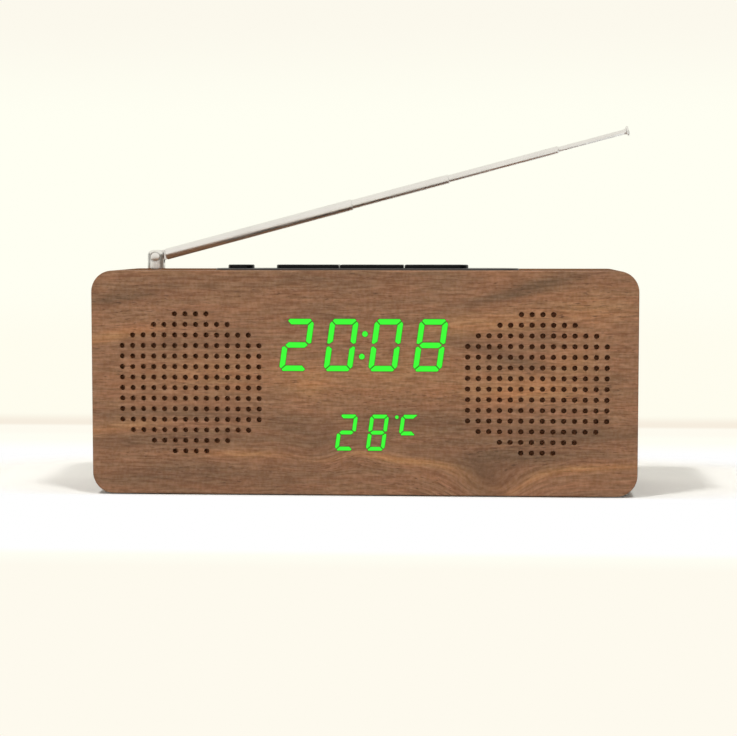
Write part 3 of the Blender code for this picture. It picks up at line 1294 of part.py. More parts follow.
def make_sensor():
    """The temperature sensor's bead, behind its own vents in the rear panel."""
    radius = SENSOR_DIAMETER / 2
    top = SENSOR_LENGTH
    profile = [(0, top), (radius / 2, top - radius / 4), (radius, top - radius), (radius, 0), (0, 0)]
    at = (SENSOR_X, MAIN_BOARD_REAR_Y + SEAT_GAP, SOCKET_Z)
    finish(turned("temperature_sensor", profile, SMALL_SIDES, at, FACING_REAR), "sensor_resin")


def make_lead(name, start, leaving, end, arriving, finish_name):
    """A round lead along one Bezier curve between two directions."""
    first = start + LEAD_HANDLE * leaving
    last = end - LEAD_HANDLE * arriving
    route = interpolate_bezier(start, first, last, end, LEAD_POINTS)
    curve = bpy.data.curves.new(name, "CURVE")
    curve.dimensions = "3D"
    curve.bevel_depth = LEAD_DIAMETER / 2
    curve.bevel_resolution = 1
    curve.use_fill_caps = True
    spline = curve.splines.new("POLY")
    spline.points.add(len(route) - 1)
    for point, spot in zip(spline.points, route):
        point.co = (*spot, 1)
    lead = meshed(place(bpy.data.objects.new(name, curve), (0, 0, 0), (0, 0, 0), None, False))
    return finish(lead, finish_name)


def make_leads():
    """The antenna's and the speakers' leads, each to an edge of the main board."""
    edge = MAIN_BOARD_LENGTH / 2 + SEAT_GAP
    board_y = (MAIN_BOARD_FRONT_Y + MAIN_BOARD_REAR_Y) / 2
    basket_y = SPEAKER_Y + SPEAKER_BASKET_DEPTH - SPEAKER_SPIDER_HEIGHT / 2
    for side, name in ((-1, "speaker_left"), (1, "speaker_right")):
        start = Vector((side * (GRILLE_X - MAGNET_RADIUS - SEAT_GAP), basket_y, MID_Z))
        end = Vector((side * edge, board_y, MAIN_BOARD_Z))
        inward = Vector((-side, 0, 0))
        make_lead(f"{name}_lead", start, inward, end, inward, "black_lead")
    start = Vector((ANTENNA_X + TAG_X, ANTENNA_Y, TAG_END_Z - SEAT_GAP))
    end = Vector((-edge, board_y, MAIN_BOARD_Z + LEAD_SPACING))
    make_lead("antenna_lead", start, Vector((0, 0, -1)), end, Vector((1, 0, 0)), "red_lead")


def main():
    make_front_panel()
    make_cabinet_shell()
    make_rear_panel()
    make_feet()
    make_display()
    for side, name in ((-1, "speaker_left"), (1, "speaker_right")):
        make_cloth(side, name)
        make_speaker(side, name)
    make_control_plate()
    make_controls()
    make_antenna()
    make_main_board()
    make_sockets()
    make_coin_cell()
    make_sensor()
    make_leads()


main()
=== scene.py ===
"""The wooden clock radio as photographed: its veneer, plastics and chrome, its lit digits, and the studio.

Metres, +Z up. The front faces -Y and +X is to the right of someone looking at it. Each surface is a
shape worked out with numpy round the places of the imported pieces, and rides on the body of its piece.
"""

import math

import bpy
import numpy as np
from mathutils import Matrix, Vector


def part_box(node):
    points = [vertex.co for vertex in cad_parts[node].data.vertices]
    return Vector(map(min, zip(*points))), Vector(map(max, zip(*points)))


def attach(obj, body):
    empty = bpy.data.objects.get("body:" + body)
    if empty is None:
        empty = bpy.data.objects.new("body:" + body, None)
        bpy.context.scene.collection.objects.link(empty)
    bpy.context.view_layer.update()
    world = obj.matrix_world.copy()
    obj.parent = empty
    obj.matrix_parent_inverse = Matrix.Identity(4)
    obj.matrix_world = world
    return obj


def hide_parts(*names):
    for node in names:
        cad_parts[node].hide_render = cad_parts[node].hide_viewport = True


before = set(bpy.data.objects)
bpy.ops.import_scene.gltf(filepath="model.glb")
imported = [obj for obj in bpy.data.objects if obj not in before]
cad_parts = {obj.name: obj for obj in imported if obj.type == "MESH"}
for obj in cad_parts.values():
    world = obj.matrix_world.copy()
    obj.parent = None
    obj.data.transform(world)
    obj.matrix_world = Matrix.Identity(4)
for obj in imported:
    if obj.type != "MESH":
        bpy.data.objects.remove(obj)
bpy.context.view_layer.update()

BOARD_LOW, BOARD_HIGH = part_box("front_panel")
HALF_WIDTH = BOARD_HIGH.x
HALF_HEIGHT = (BOARD_HIGH.z - BOARD_LOW.z) / 2
MID_Z = (BOARD_HIGH.z + BOARD_LOW.z) / 2
TOP_Z = BOARD_HIGH.z
BASE_Z = BOARD_LOW.z
FRONT_Y = BOARD_LOW.y
BOARD_THICKNESS = BOARD_HIGH.y - BOARD_LOW.y
CORNER_RADIUS = 0.008
CORNER_STEPS = 12
EDGE_ROUNDING = 0.0005
SEAT_GAP = 0.0003

GRILLE_PITCH = 0.004
GRILLE_ROWS = 14
GRILLE_X = 0.065316
HOLE_RADIUS = 0.001
HOLE_SIDES = 12
HOLE_ROUNDING = 0.00012

WINDOW_HALF = (0.034115, 0.0272)
WINDOW_BORDER = 0.0023
WINDOW_Z = 0.0421
SKIN_THICKNESS = 0.0008
FILM = 0.00002

BIG_WIDTH, BIG_HEIGHT, BIG_PITCH, BIG_STROKE = 0.0109, 0.0198, 0.0168, 0.0022
SMALL_WIDTH, SMALL_HEIGHT, SMALL_PITCH, SMALL_STROKE = 0.00715, 0.0138, 0.0117, 0.0016
UNIT_WIDTH, UNIT_HEIGHT = 0.0063, 0.0079
BIG_ROW_X = 0.0002
SMALL_ROW_X = -0.0004
COLON_RADIUS = 0.00115
DEGREE_RADIUS = 0.00075
# The rounding is a share of the stroke, and the lean is the way across for each length up.
BAR_ROUNDING = 0.14
FIGURE_LEAN = math.tan(math.radians(8))
# Growth over a bar's outline, depth and light of each row of its film.
LIGHT_ROWS = ((-0.00022, 0.0, 1.0), (0.00015, 0.0, 0.0), (0.00015, FILM, 0.0))

SLEEVE_LOW, SLEEVE_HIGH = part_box("cabinet_shell")
WALL = 0.006
REBATE_WIDTH = 0.003
REBATE_Y = 0.0252

PANEL_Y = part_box("rear_panel")[1].y
PANEL_THICKNESS = 0.003
VENT_X = GRILLE_X
SOCKET_Z = 0.0237
SOCKET_DEPTH = 0.009

PLATE_LOW, PLATE_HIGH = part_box("control_plate")
PLATE_Y = (PLATE_LOW.y + PLATE_HIGH.y) / 2
PLATE_HALF = PLATE_HIGH.x
PLATE_RADIUS = (PLATE_HIGH.y - PLATE_LOW.y) / 2
PLATE_TOP = PLATE_HIGH.z
PLATE_BOTTOM = TOP_Z - 0.0009
PLATE_RECESS = 0.0012
PLATE_LEDGE = 0.0023

FLANGE = 0.0008
FLANGE_TOP = TOP_Z - 0.0012
KEY_LOW, KEY_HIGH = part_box("key_middle")
KEY_TOP = KEY_HIGH.z
KEY_HALF = (KEY_HIGH.x - KEY_LOW.x) / 2
KEY_HALF_DEPTH = (KEY_HIGH.y - KEY_LOW.y) / 2 - FLANGE
KEY_SPLIT = 0.0005
KEY_STRIP_X = (KEY_HIGH.x + KEY_LOW.x) / 2
KEY_STRIP_HALF = 3 * KEY_HALF + KEY_SPLIT
BUTTON_LOW, BUTTON_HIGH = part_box("power_button")
BUTTON_X = (BUTTON_HIGH.x + BUTTON_LOW.x) / 2
BUTTON_RADIUS = (BUTTON_HIGH.x - BUTTON_LOW.x) / 2 - FLANGE
PLATE_BOSSES = (-0.0395, 0.04365)
FOOT_X, FOOT_Y, FOOT_RADIUS, FOOT_RECESS = 0.081016, 0.0155, 0.006, 0.0013

RIVET_LOW, RIVET_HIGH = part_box("antenna_rivet")
POST_LOW, POST_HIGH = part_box("antenna_post")
ANTENNA_X = (POST_LOW.x + POST_HIGH.x) / 2
ANTENNA_Y = (POST_LOW.y + POST_HIGH.y) / 2
PIVOT_Z = (RIVET_LOW.z + RIVET_HIGH.z) / 2
REST_ANGLE = math.radians(14.8)
POST_RADIUS = 0.0035
POST_CROWN = 0.0029
CROWN_START = 0.25
CROWN_POWER = 2.4
POST_BORE_RADIUS = 0.0023
FORK_SLOT_HALF = 0.0013
FORK_FLOOR = -0.0023
SHARP_ANGLE = math.radians(35)


def following(numbers):
    """The next number along each closed row."""
    return np.roll(numbers, -1, axis=-1)


class Shell:
    """The points and faces of one piece, gathered as whole arrays of point numbers."""

    def __init__(self):
        self.points = []
        self.grain = []
        self.quads = []
        self.triangles = []
        self.count = 0

    def put(self, place, grain=None):
        """Adds the points (x, y, z), each an array, and returns their numbers in the same shape."""
        points = np.stack(np.broadcast_arrays(*place), -1)
        along = points if grain is None else np.stack(np.broadcast_arrays(*grain, points[..., 0])[:3], -1)
        self.points.append(points.reshape(-1, 3))
        self.grain.append(along.reshape(-1, 3))
        numbers = self.count + np.arange(points[..., 0].size).reshape(points.shape[:-1])
        self.count += numbers.size
        return numbers

    def loft(self, first, second):
        """Quads (a, b, next b, next a) between two closed rows; a repeated point makes a triangle."""
        rows = np.broadcast_arrays(first, second, following(second), following(first))
        a, b, c, d = (row.ravel() for row in rows)
        apex = a == d
        base = b == c
        self.quads.append(np.stack([a, b, c, d], -1)[~(apex | base)])
        self.triangles.append(np.stack([a, b, c], -1)[apex & ~base])
        self.triangles.append(np.stack([a, b, d], -1)[base & ~apex])

    def grid(self, corners, pierced, turned=False):
        """The quads of all cells, given by their four corners, that no hole pierces."""
        self.quads.append(corners[~pierced][:, ::-1 if turned else 1])

    def fan(self, corners, rim, turned=False):
        """Fills cells round their rims: each corner sees a quarter of the rim, each side its middle."""
        quarter = rim.shape[1] // 4
        owner = np.repeat(corners, quarter, axis=1)
        slices = np.stack([owner, following(rim), rim], -1)
        bridges = np.stack([corners, following(corners), following(rim[:, ::quarter])], -1)
        for made in (slices, bridges):
            self.triangles.append(made.reshape(-1, 3)[:, ::-1 if turned else 1])


def cell_corners(numbers):
    """The four corners of every cell of a grid of point numbers, anticlockwise."""
    return np.stack([numbers[:-1, :-1], numbers[1:, :-1], numbers[1:, 1:], numbers[:-1, 1:]], -1)


def border(numbers, arc=0):
    """The numbers round a grid's border, anticlockwise, each corner repeated once for each arc point."""
    sides = (numbers[:, 0], numbers[-1], numbers[::-1, -1], numbers[0, ::-1])
    return np.concatenate([part for side in sides for part in (side, np.repeat(side[-1:], arc))])


QUARTERS = np.array([(1, -1), (1, 1), (-1, 1), (-1, -1)])


def outline(half, radii, steps, bottom, right, top, left):
    """A rounded rectangle anticlockwise: its straight points at the given lines, then each corner's arc.

    An arc point is the corner's centre plus its radius times (cos angle, sin angle), from the lower
    right corner on. Returns the points and their outward normals.
    """
    radii = np.broadcast_to(radii, 4)
    centres = QUARTERS * (np.array(half) - radii[:, None])
    points, normals = [], []
    sides = ((0, -1, bottom), (1, 1, right), (0, 1, top[::-1]), (1, -1, left[::-1]))
    for turn, (axis, sign, lines) in enumerate(sides):
        ends = np.sort([centres[turn - 1, axis], centres[turn, axis]])
        margin = min(0.0002, (ends[1] - ends[0]) / 4)
        straight = np.full((len(lines), 2), sign * half[1 - axis])
        straight[:, axis] = np.clip(lines, ends[0] + margin, ends[1] - margin)
        normal = np.full((len(lines), 2), float(sign))
        normal[:, axis] = 0
        angle = (turn - 1 + np.linspace(0, 1, steps + 1)) * math.pi / 2
        facing = np.stack([np.cos(angle), np.sin(angle)], -1)
        points += [straight, centres[turn] + radii[turn] * facing]
        normals += [normal, facing]
    return np.concatenate(points), np.concatenate(normals)


def rounded(radius, steps, start=0.0):
    """Inset and depth round an edge: inset radius (1 - sin t), depth start + radius (1 - cos t)."""
    t = np.linspace(0, math.pi / 2, steps + 1)
    return list(zip(radius * (1 - np.sin(t)), start + radius * (1 - np.cos(t))))


def lipped(soft, *deeper):
    """The steps of a hole's wall: its softened mouth, then the deeper ones."""
    return [(soft, 0.0), (0.0, soft), *deeper]


def round_edge(radius, steps, thickness):
    """The rows round a board's edge: rounded in front, and a small slant behind."""
    return rounded(radius, steps) + [(0.0, thickness - 0.0002), (0.0002, thickness)]


def circle_rim(radius, sides):
    """A circle from its left side on, anticlockwise: radius times (cos t, sin t), t from pi."""
    t = math.pi + 2 * math.pi * np.arange(sides) / sides
    facing = np.stack([np.cos(t), np.sin(t)], -1)
    return radius * facing, facing


def slot_rim(half_u, half_v, radius, steps):
    """A rounded rectangle as four quarters from the left, each a side's middle and then a corner's arc."""
    radius = min(radius, 0.995 * min(half_u, half_v))
    sides = (np.zeros(1),) * 4
    return [np.roll(rim, steps + 2, axis=0) for rim in outline((half_u, half_v), radius, steps, *sides)]


def pierce(shell, place, lines, corners, centres, rim, steps):
    """Sinks rims at the centres of cells: rows of the rim grown and sunk by each step, then lofted.

    Returns the pierced cells and the deepest row, which the back or a floor closes.
    """
    centres = np.atleast_2d(centres)
    i = np.searchsorted(lines[0], centres[:, 0]) - 1
    j = np.searchsorted(lines[1], centres[:, 1]) - 1
    points, normals = rim
    rows = []
    for growth, depth in steps:
        spot = centres[:, None, :] + points + growth * normals
        rows.append(shell.put(*place(spot[..., 0], spot[..., 1], depth)))
    shell.fan(corners[i, j], rows[0])
    for upper, lower in zip(rows, rows[1:]):
        shell.loft(lower, upper)
    return (i, j), rows[-1]


def floor_of(shell, place, row, centres, depth):
    """Closes blind holes with a fan about each middle."""
    centres = np.atleast_2d(centres)
    middle = shell.put(*place(centres[:, :1], centres[:, 1:], depth))
    shell.loft(np.broadcast_to(middle, row.shape), row)


def board(place, half, radius, us, vs, thickness, rounding, holes, keep_back=None):
    """A flat rounded board pierced by holes. place(u, v, depth) puts its points in space.

    Front and back are grids on the lines us and vs, each hole in a cell of its own, and the edge is a
    row of outlines inset and sunk by the rounding. holes: (centres, rim, steps, through).
    """
    shell = Shell()
    u, v = np.meshgrid(us, vs, indexing="ij")
    front = shell.put(*place(u, v, 0.0))
    back = shell.put(*place(u, v, thickness))
    front_corners, back_corners = cell_corners(front), cell_corners(back)
    pierced = np.zeros(front_corners.shape[:2], bool)
    open_back = np.zeros(pierced.shape, bool) if keep_back is None else ~keep_back
    for centres, rim, steps, through in holes:
        cell, last = pierce(shell, place, (us, vs), front_corners, centres, rim, steps)
        pierced[cell] = True
        if through:
            open_back[cell] = True
            shell.fan(back_corners[cell], last, turned=True)
        else:
            floor_of(shell, place, last, centres, steps[-1][1])
    shell.grid(front_corners, pierced)
    shell.grid(back_corners, open_back, turned=True)
    points, normals = outline(half, radius, CORNER_STEPS, us, vs, us, vs)
    row = border(front, CORNER_STEPS + 1)
    for inset, depth in rounding:
        spot = points - inset * normals
        following_row = shell.put(*place(spot[:, 0], spot[:, 1], depth))
        shell.loft(row, following_row)
        row = following_row
    shell.loft(row, border(back, CORNER_STEPS + 1))
    return shell, back


def turned(profile, sides, origin=(0, 0, 0), axis=(0, 0, 1)):
    """A profile of (radius, height) turned about an axis: origin + height axis + radius (cos t, sin t).

    A radius may be an array with one value for each side. A profile that starts and ends off the axis
    is closed on itself.
    """
    shell = Shell()
    axis = np.array(axis, float) / np.linalg.norm(axis)
    side = np.cross(axis, (0, 1, 0) if abs(axis[1]) < 0.9 else (1, 0, 0))
    side = side / np.linalg.norm(side)
    other = np.cross(axis, side)
    t = 2 * math.pi * np.arange(sides) / sides
    ring = np.cos(t)[:, None] * side + np.sin(t)[:, None] * other
    rows = []
    for radius, height in profile:
        on_axis = np.ndim(radius) == 0 and radius == 0
        spread = np.zeros((1, 3)) if on_axis else np.reshape(radius, (-1, 1)) * ring
        numbers = shell.put((np.array(origin) + height * axis + spread).T)
        rows.append(np.broadcast_to(numbers, (sides,)))
    for lower, upper in zip(rows, rows[1:]):
        shell.loft(lower, upper)
    if np.any(profile[0][0]) and np.any(profile[-1][0]):
        shell.loft(rows[-1], rows[0])
    return shell


def facing_out(shell):
    """A shell's points and faces, the faces turned round where the volume they close is negative."""
    points = np.concatenate(shell.points)
    quads = np.concatenate([np.zeros((0, 4), int), *shell.quads])
    triangles = np.concatenate([np.zeros((0, 3), int), *shell.triangles])
    halves = np.concatenate([quads[:, [0, 1, 2]], quads[:, [0, 2, 3]], triangles])
    a, b, c = (points[halves[:, i]] - points.mean(0) for i in range(3))
    if np.einsum("ij,ij->", a, np.cross(b, c)) < 0:
        quads, triangles = quads[:, ::-1], triangles[:, ::-1]
    return points, quads, triangles


def added(name, data):
    """A new object, linked to the scene."""
    made = bpy.data.objects.new(name, data)
    bpy.context.scene.collection.objects.link(made)
    return made


def make(name, shells, material, body, stands_for, light=None):
    """Turns closed shells into one piece, its grain and its light kept as attributes of the points."""
    points, faces, count = [], [], 0
    for shell in shells:
        spots, quads, triangles = facing_out(shell)
        faces += (quads + count).tolist() + (triangles + count).tolist()
        points.append(spots)
        count += len(spots)
    mesh = bpy.data.meshes.new(name)
    mesh.from_pydata(np.concatenate(points).tolist(), [], faces)
    grain = mesh.attributes.new("grain", "FLOAT_VECTOR", "POINT")
    along = np.concatenate([spots for shell in shells for spots in shell.grain])
    grain.data.foreach_set("vector", along.astype(np.float32).ravel())
    if light is not None:
        mesh.attributes.new("light", "FLOAT", "POINT").data.foreach_set("value", light.astype(np.float32))
    mesh.polygons.foreach_set("use_smooth", np.ones(len(mesh.polygons), bool))
    mesh.set_sharp_from_angle(angle=SHARP_ANGLE)
    mesh.materials.append(material)
    piece = added(name, mesh)
    piece.modifiers.new("flat faces stay flat", "WEIGHTED_NORMAL").keep_sharp = True
    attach(piece, body)
    if stands_for:
        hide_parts(*stands_for)


class Paint:
    """A Principled material and the nodes that feed it."""

    def __init__(self, name, colour, roughness, metallic=0.0):
        self.material = bpy.data.materials.new(name)
        self.material.use_nodes = True
        self.tree = self.material.node_tree
        self.shader = self.tree.nodes["Principled BSDF"]
        self.shader.inputs["Base Color"].default_value = (*colour, 1)
        self.shader.inputs["Roughness"].default_value = roughness
        self.shader.inputs["Metallic"].default_value = metallic

    def node(self, kind, inputs=(), **settings):
        made = self.tree.nodes.new(kind)
        for name, value in settings.items():
            setattr(made, name, value)
        for socket, value in dict(inputs).items():
            if isinstance(value, bpy.types.NodeSocket):
                self.tree.links.new(value, made.inputs[socket])
            else:
                made.inputs[socket].default_value = value
        return made

    def feed(self, socket, value):
        self.tree.links.new(value, self.shader.inputs[socket])

    def attribute(self, name):
        return self.node("ShaderNodeAttribute", attribute_name=name)

    def spot(self):
        return self.node("ShaderNodeTexCoord").outputs["Object"]

    def scaled(self, vector, scale):
        scale = np.broadcast_to(scale, 3).tolist()
        return self.node("ShaderNodeMapping", {"Vector": vector, "Scale": scale}).outputs[0]

    def split(self, vector):
        return self.node("ShaderNodeSeparateXYZ", {0: vector}).outputs

    def joined(self, x, y, z):
        return self.node("ShaderNodeCombineXYZ", {0: x, 1: y, 2: z}).outputs[0]

    def noise(self, vector, scale, detail=3.0, roughness=0.5, distortion=0.0):
        values = {"Vector": self.scaled(vector, scale), "Scale": 1.0, "Detail": detail}
        values |= {"Roughness": roughness, "Distortion": distortion}
        return self.node("ShaderNodeTexNoise", values).outputs["Fac"]

    def cells(self, vector, scale, feature="F1", randomness=1.0):
        values = {"Vector": self.scaled(vector, scale), "Scale": 1.0, "Randomness": randomness}
        return self.node("ShaderNodeTexVoronoi", values, feature=feature)

    def ramp(self, value, low, high, to_low=0.0, to_high=1.0):
        values = {"Value": value, "From Min": low, "From Max": high, "To Min": to_low, "To Max": to_high}
        return self.node("ShaderNodeMapRange", values, interpolation_type="SMOOTHSTEP").outputs[0]

    def math(self, operation, first, second=0.5, third=0.5):
        return self.node("ShaderNodeMath", {0: first, 1: second, 2: third}, operation=operation).outputs[0]

    def hill(self, vector, place, size, turn=0.0):
        """exp(-r^2), where r is the distance from a place in half sizes along axes turned by an angle."""
        values = {"Vector": vector, "Location": (*place, 0), "Scale": (*size, 1)}
        values["Rotation"] = (0, 0, math.radians(turn))
        moved = self.node("ShaderNodeMapping", values, vector_type="TEXTURE").outputs[0]
        square = self.node("ShaderNodeVectorMath", {0: moved, 1: moved}, operation="DOT_PRODUCT")
        return self.math("EXPONENT", self.math("MULTIPLY", square.outputs["Value"], -1.0))

    def mix(self, factor, first, second, blend="MIX"):
        made = self.node("ShaderNodeMix", data_type="RGBA", blend_type=blend)
        for socket, value in ((0, factor), (6, first), (7, second)):
            if isinstance(value, bpy.types.NodeSocket):
                self.tree.links.new(value, made.inputs[socket])
            else:
                made.inputs[socket].default_value = value if socket == 0 else (*value, 1)
        return made.outputs[2]

    def shade(self, value, low, high, first, second, top=1.0):
        self.feed("Base Color", self.mix(self.ramp(value, low, high, 0.0, top), first, second))

    def bump(self, height, distance):
        values = {"Height": height, "Distance": distance, "Strength": 1.0}
        self.feed("Normal", self.node("ShaderNodeBump", values).outputs[0])


# Forms of the veneer's figure: place over the board's middle and half sizes in mm, turn in degrees, strength.
WARM_FIGURE = (
    (45.0, 24.0, 24.0, 4.2, 3, 0.70),
    (86.0, 30.0, 18.0, 6.0, 0, 0.45),
    (60.0, -0.5, 24.0, 5.0, 0, 0.70),
    (79.0, 9.0, 10.0, 6.0, 0, 0.45),
    (-20.5, 1.5, 8.5, 5.5, 0, 0.60),
    (8.0, 5.0, 28.0, 6.5, 0, 0.50),
    (-58.0, 4.5, 22.0, 8.0, 0, 0.35),
    (-96.0, 19.0, 17.0, 2.2, 10, 0.70),
    (-92.0, -16.0, 17.0, 2.2, 8, 0.70),
    (-45.0, -25.3, 15.0, 1.3, 0, 0.80),
    (15.0, -27.5, 26.0, 1.3, -2, 0.95),
    (80.0, -30.0, 26.0, 1.3, 3, 0.85),
)
SMOKY_FIGURE = (
    (58.0, 36.0, 34.0, 2.8, 15, 1.00),
    (-17.0, 27.5, 17.0, 2.6, -5, 0.60),
    (0.0, 39.5, 40.0, 6.0, 0, 0.50),
    (-95.0, 32.5, 17.0, 3.2, 8, 0.80),
    (-55.0, 38.5, 40.0, 4.5, 0, 0.50),
    (51.0, 12.5, 19.0, 2.4, -17, 0.95),
    (67.8, 20.8, 5.5, 3.2, 0, 0.80),
    (-73.0, 16.0, 15.0, 3.6, 0, 0.50),
    (-50.0, 16.5, 11.0, 5.0, 0, 0.35),
    (90.0, 2.5, 11.0, 3.6, -8, 0.35),
    (-70.0, -10.7, 42.0, 2.0, 0, 0.85),
    (-24.0, -14.0, 12.0, 3.2, -8, 0.90),
    (-75.0, -20.0, 38.0, 3.2, 3, 0.95),
    (11.0, -11.0, 15.0, 3.6, 0, 0.90),
    (34.0, -15.0, 11.0, 8.0, 0, 0.50),
    (78.0, -17.5, 32.0, 6.0, 0, 0.85),
    (60.0, -24.5, 20.0, 4.0, 0, 0.60),
    (44.5, -27.2, 9.0, 4.0, 0, 0.65),
    (-70.0, -33.5, 45.0, 4.5, 0, 0.75),
    (-10.0, -19.5, 30.0, 5.0, 0, 0.35),
)


def walnut(name="walnut_veneer", lit=False, tone=1.0):
    """Walnut film. Its fibres are level lines of the height over the grain, bent round the figure.

    The bent height is v + 3 mm of slow noise + 11 mm exp(-r^2) in the valley at the right, and the
    fibres lean up to the right below the knot. Colour, pores and gloss all follow it. A tone below 1
    darkens the film all through: a painted shade that keeps a more strongly lit piece as dark as the
    front. At full tone the walls of the holes show raw wood below the film.
    """
    paint = Paint(name, (0.27, 0.141, 0.08), 0.5)
    paint.shader.inputs["Specular IOR Level"].default_value = 0.2 if tone == 1 else 0.0
    grain = paint.attribute("grain").outputs["Vector"]
    along, over, deep = paint.split(grain)
    bent = paint.math("MULTIPLY_ADD", paint.noise(grain, (14, 34, 34), 2), 0.003, over)
    bent = paint.math("MULTIPLY_ADD", paint.hill(grain, (0.048, -0.044), (0.019, 0.012)), 0.011, bent)
    lean = paint.math("MULTIPLY_ADD", along, -0.4, -0.004)
    lean = paint.math("MULTIPLY", lean, paint.hill(grain, (-0.010, -0.027), (0.013, 0.008)))
    bent = paint.math("ADD", bent, lean)
    flow = paint.joined(along, bent, deep)

    fibres = paint.noise(flow, (130, 1150, 400), 4, 0.6)
    bands = paint.noise(flow, (9, 150, 60), 4, 0.6)
    clouds = paint.noise(flow, (26, 75, 60), 3, 0.55)
    chatter_and_sheen = paint.noise(grain, (800, 500, 300), 2, 0.5)
    tint = paint.noise(flow, (50, 380, 300), 3, 0.5)
    colour = (0.158, 0.078, 0.039)
    for value, low, high, top, shade in (
        (fibres, 0.30, 0.70, 1.00, (0.284, 0.153, 0.082)),
        (bands, 0.35, 0.70, 0.30, (0.151, 0.081, 0.042)),
        (clouds, 0.45, 0.75, 0.20, (0.320, 0.145, 0.067)),
        (clouds, 0.48, 0.25, 0.20, (0.140, 0.080, 0.050)),
    ):
        colour = paint.mix(paint.ramp(value, low, high, 0, top), colour, shade)
    colour = paint.mix(paint.ramp(tint, 0.35, 0.65), colour, (1.06, 0.96, 0.94), "MULTIPLY")
    for figure, shade in ((WARM_FIGURE, (1.50, 1.44, 1.16)), (SMOKY_FIGURE, (0.64, 0.70, 0.74))):
        total = 0.0
        for *lengths, turn, strength in figure:
            x, y, half_x, half_y = (length / 1000 for length in lengths)
            hill = paint.hill(flow, (x, y), (half_x, half_y), turn)
            total = paint.math("MULTIPLY_ADD", hill, strength, total)
        streaked = paint.math("MULTIPLY", total, paint.ramp(bands, 0.3, 0.6, 0.7, 1.1))
        colour = paint.mix(paint.math("MINIMUM", streaked, 1.0), colour, shade, "MULTIPLY")
    # fine chatter of the surface; its pale bluish lift is partly a painted sheen that stands in for the
    # lamps' reflection on the veneer
    colour = paint.mix(paint.ramp(chatter_and_sheen, 0.35, 0.65), colour, (1.13, 1.19, 1.32), "MULTIPLY")
    dashes = paint.noise(flow, (330, 2600, 900), 1, 0.5)
    where = paint.ramp(paint.noise(flow, (18, 110, 60), 2), 0.4, 0.62, 0.25, 1.0)
    pores = paint.math("MULTIPLY", paint.ramp(dashes, 0.60, 0.70), where)
    colour = paint.mix(paint.math("MULTIPLY", pores, 0.7), colour, (0.055, 0.027, 0.017))
    # painted shade: a tone below 1 darkens the whole film
    if tone < 1:
        colour = paint.mix(1.0, colour, (tone,) * 3, "MULTIPLY")
    else:
        inside = paint.ramp(paint.hill(grain, (0, 0), (0.11, 0.045)), 0.40, 0.43)
        raw = paint.math("MULTIPLY", paint.ramp(deep, 0.0003, 0.0008), inside)
        colour = paint.mix(raw, colour, (0.42, 0.21, 0.10))
    if lit:
        light = paint.attribute("light").outputs["Fac"]
        colour = paint.mix(paint.ramp(light, 0.0, 0.4), colour, (0.0, 0.0, 0.0))
        paint.shader.inputs["Emission Color"].default_value = (0.045, 1.0, 0.035, 1)
        paint.feed("Emission Strength", paint.ramp(light, 0.2, 1.0))
    paint.feed("Base Color", colour)
    paint.feed("Roughness", paint.ramp(fibres, 0.2, 0.8, 0.58, 0.46))
    relief = paint.math("MULTIPLY_ADD", pores, -1.2, fibres)
    paint.bump(relief, 0.00003)
    return paint.material


def moulded(name, colour, roughness, gloss=0.5, pitch=0.0004):
    """Moulded plastic: a fine even spark texture, with faint clouds of handling in its gloss."""
    paint = Paint(name, colour, roughness)
    paint.shader.inputs["Specular IOR Level"].default_value = gloss
    texture = paint.noise(paint.spot(), 1 / pitch, 2)
    clouds = paint.noise(paint.spot(), 60, 3)
    bright = tuple(1.35 * part for part in colour)
    paint.shade(texture, 0.3, 0.7, colour, bright)
    paint.feed("Roughness", paint.ramp(clouds, 0.3, 0.7, roughness - 0.05, roughness + 0.07))
    paint.bump(texture, 0.00001)
    return paint.material


def plated(name, colour, roughness, marks=0.3):
    """Plated metal: rubbing marks and a slow clouding of the gloss."""
    paint = Paint(name, colour, roughness, 1.0)
    fine = paint.noise(paint.spot(), (700, 700, 2200), 3, 0.6)
    slow = paint.noise(paint.spot(), 90, 3)
    dull = tuple((1 - marks) * part for part in colour)
    paint.shade(fine, 0.45, 0.8, colour, dull, 0.5)
    paint.feed("Roughness", paint.ramp(slow, 0.3, 0.7, 0.8 * roughness, 1.3 * roughness))
    paint.bump(fine, 0.0000001)
    return paint.material


def galvanised():
    """Zinc-plated steel: pale flakes of slightly different greys."""
    paint = Paint("zinc_steel", (0.5, 0.51, 0.52), 0.35, 1.0)
    flakes = paint.cells(paint.spot(), 1600)
    tone = paint.ramp(paint.split(flakes.outputs["Color"])[0], 0, 1)
    paint.feed("Base Color", paint.mix(tone, (0.42, 0.43, 0.45), (0.62, 0.62, 0.62)))
    paint.feed("Roughness", paint.ramp(tone, 0, 1, 0.28, 0.42))
    return paint.material


def circuit_board():
    """Green solder resist over copper tracks that run along X and Z, with tinned pads between them."""
    paint = Paint("circuit_board", (0.012, 0.10, 0.045), 0.3)
    spot = paint.spot()
    x, y, z = paint.split(spot)
    flat = paint.joined(x, paint.math("ADD", y, z), 0.0)
    tracks = paint.cells(flat, (260, 700, 1), "DISTANCE_TO_EDGE", 0.35).outputs["Distance"]
    pads = paint.cells(flat, (190, 190, 1), "F1", 0.6).outputs["Distance"]
    track = paint.ramp(tracks, 0.06, 0.1)
    pad = paint.ramp(pads, 0.13, 0.1)
    colour = paint.mix(track, (0.02, 0.17, 0.07), (0.008, 0.075, 0.035))
    paint.feed("Base Color", paint.mix(pad, colour, (0.6, 0.58, 0.52)))
    paint.feed("Metallic", pad)
    paint.bump(paint.math("ADD", pad, paint.math("MULTIPLY", track, -0.6)), 0.00004)
    return paint.material


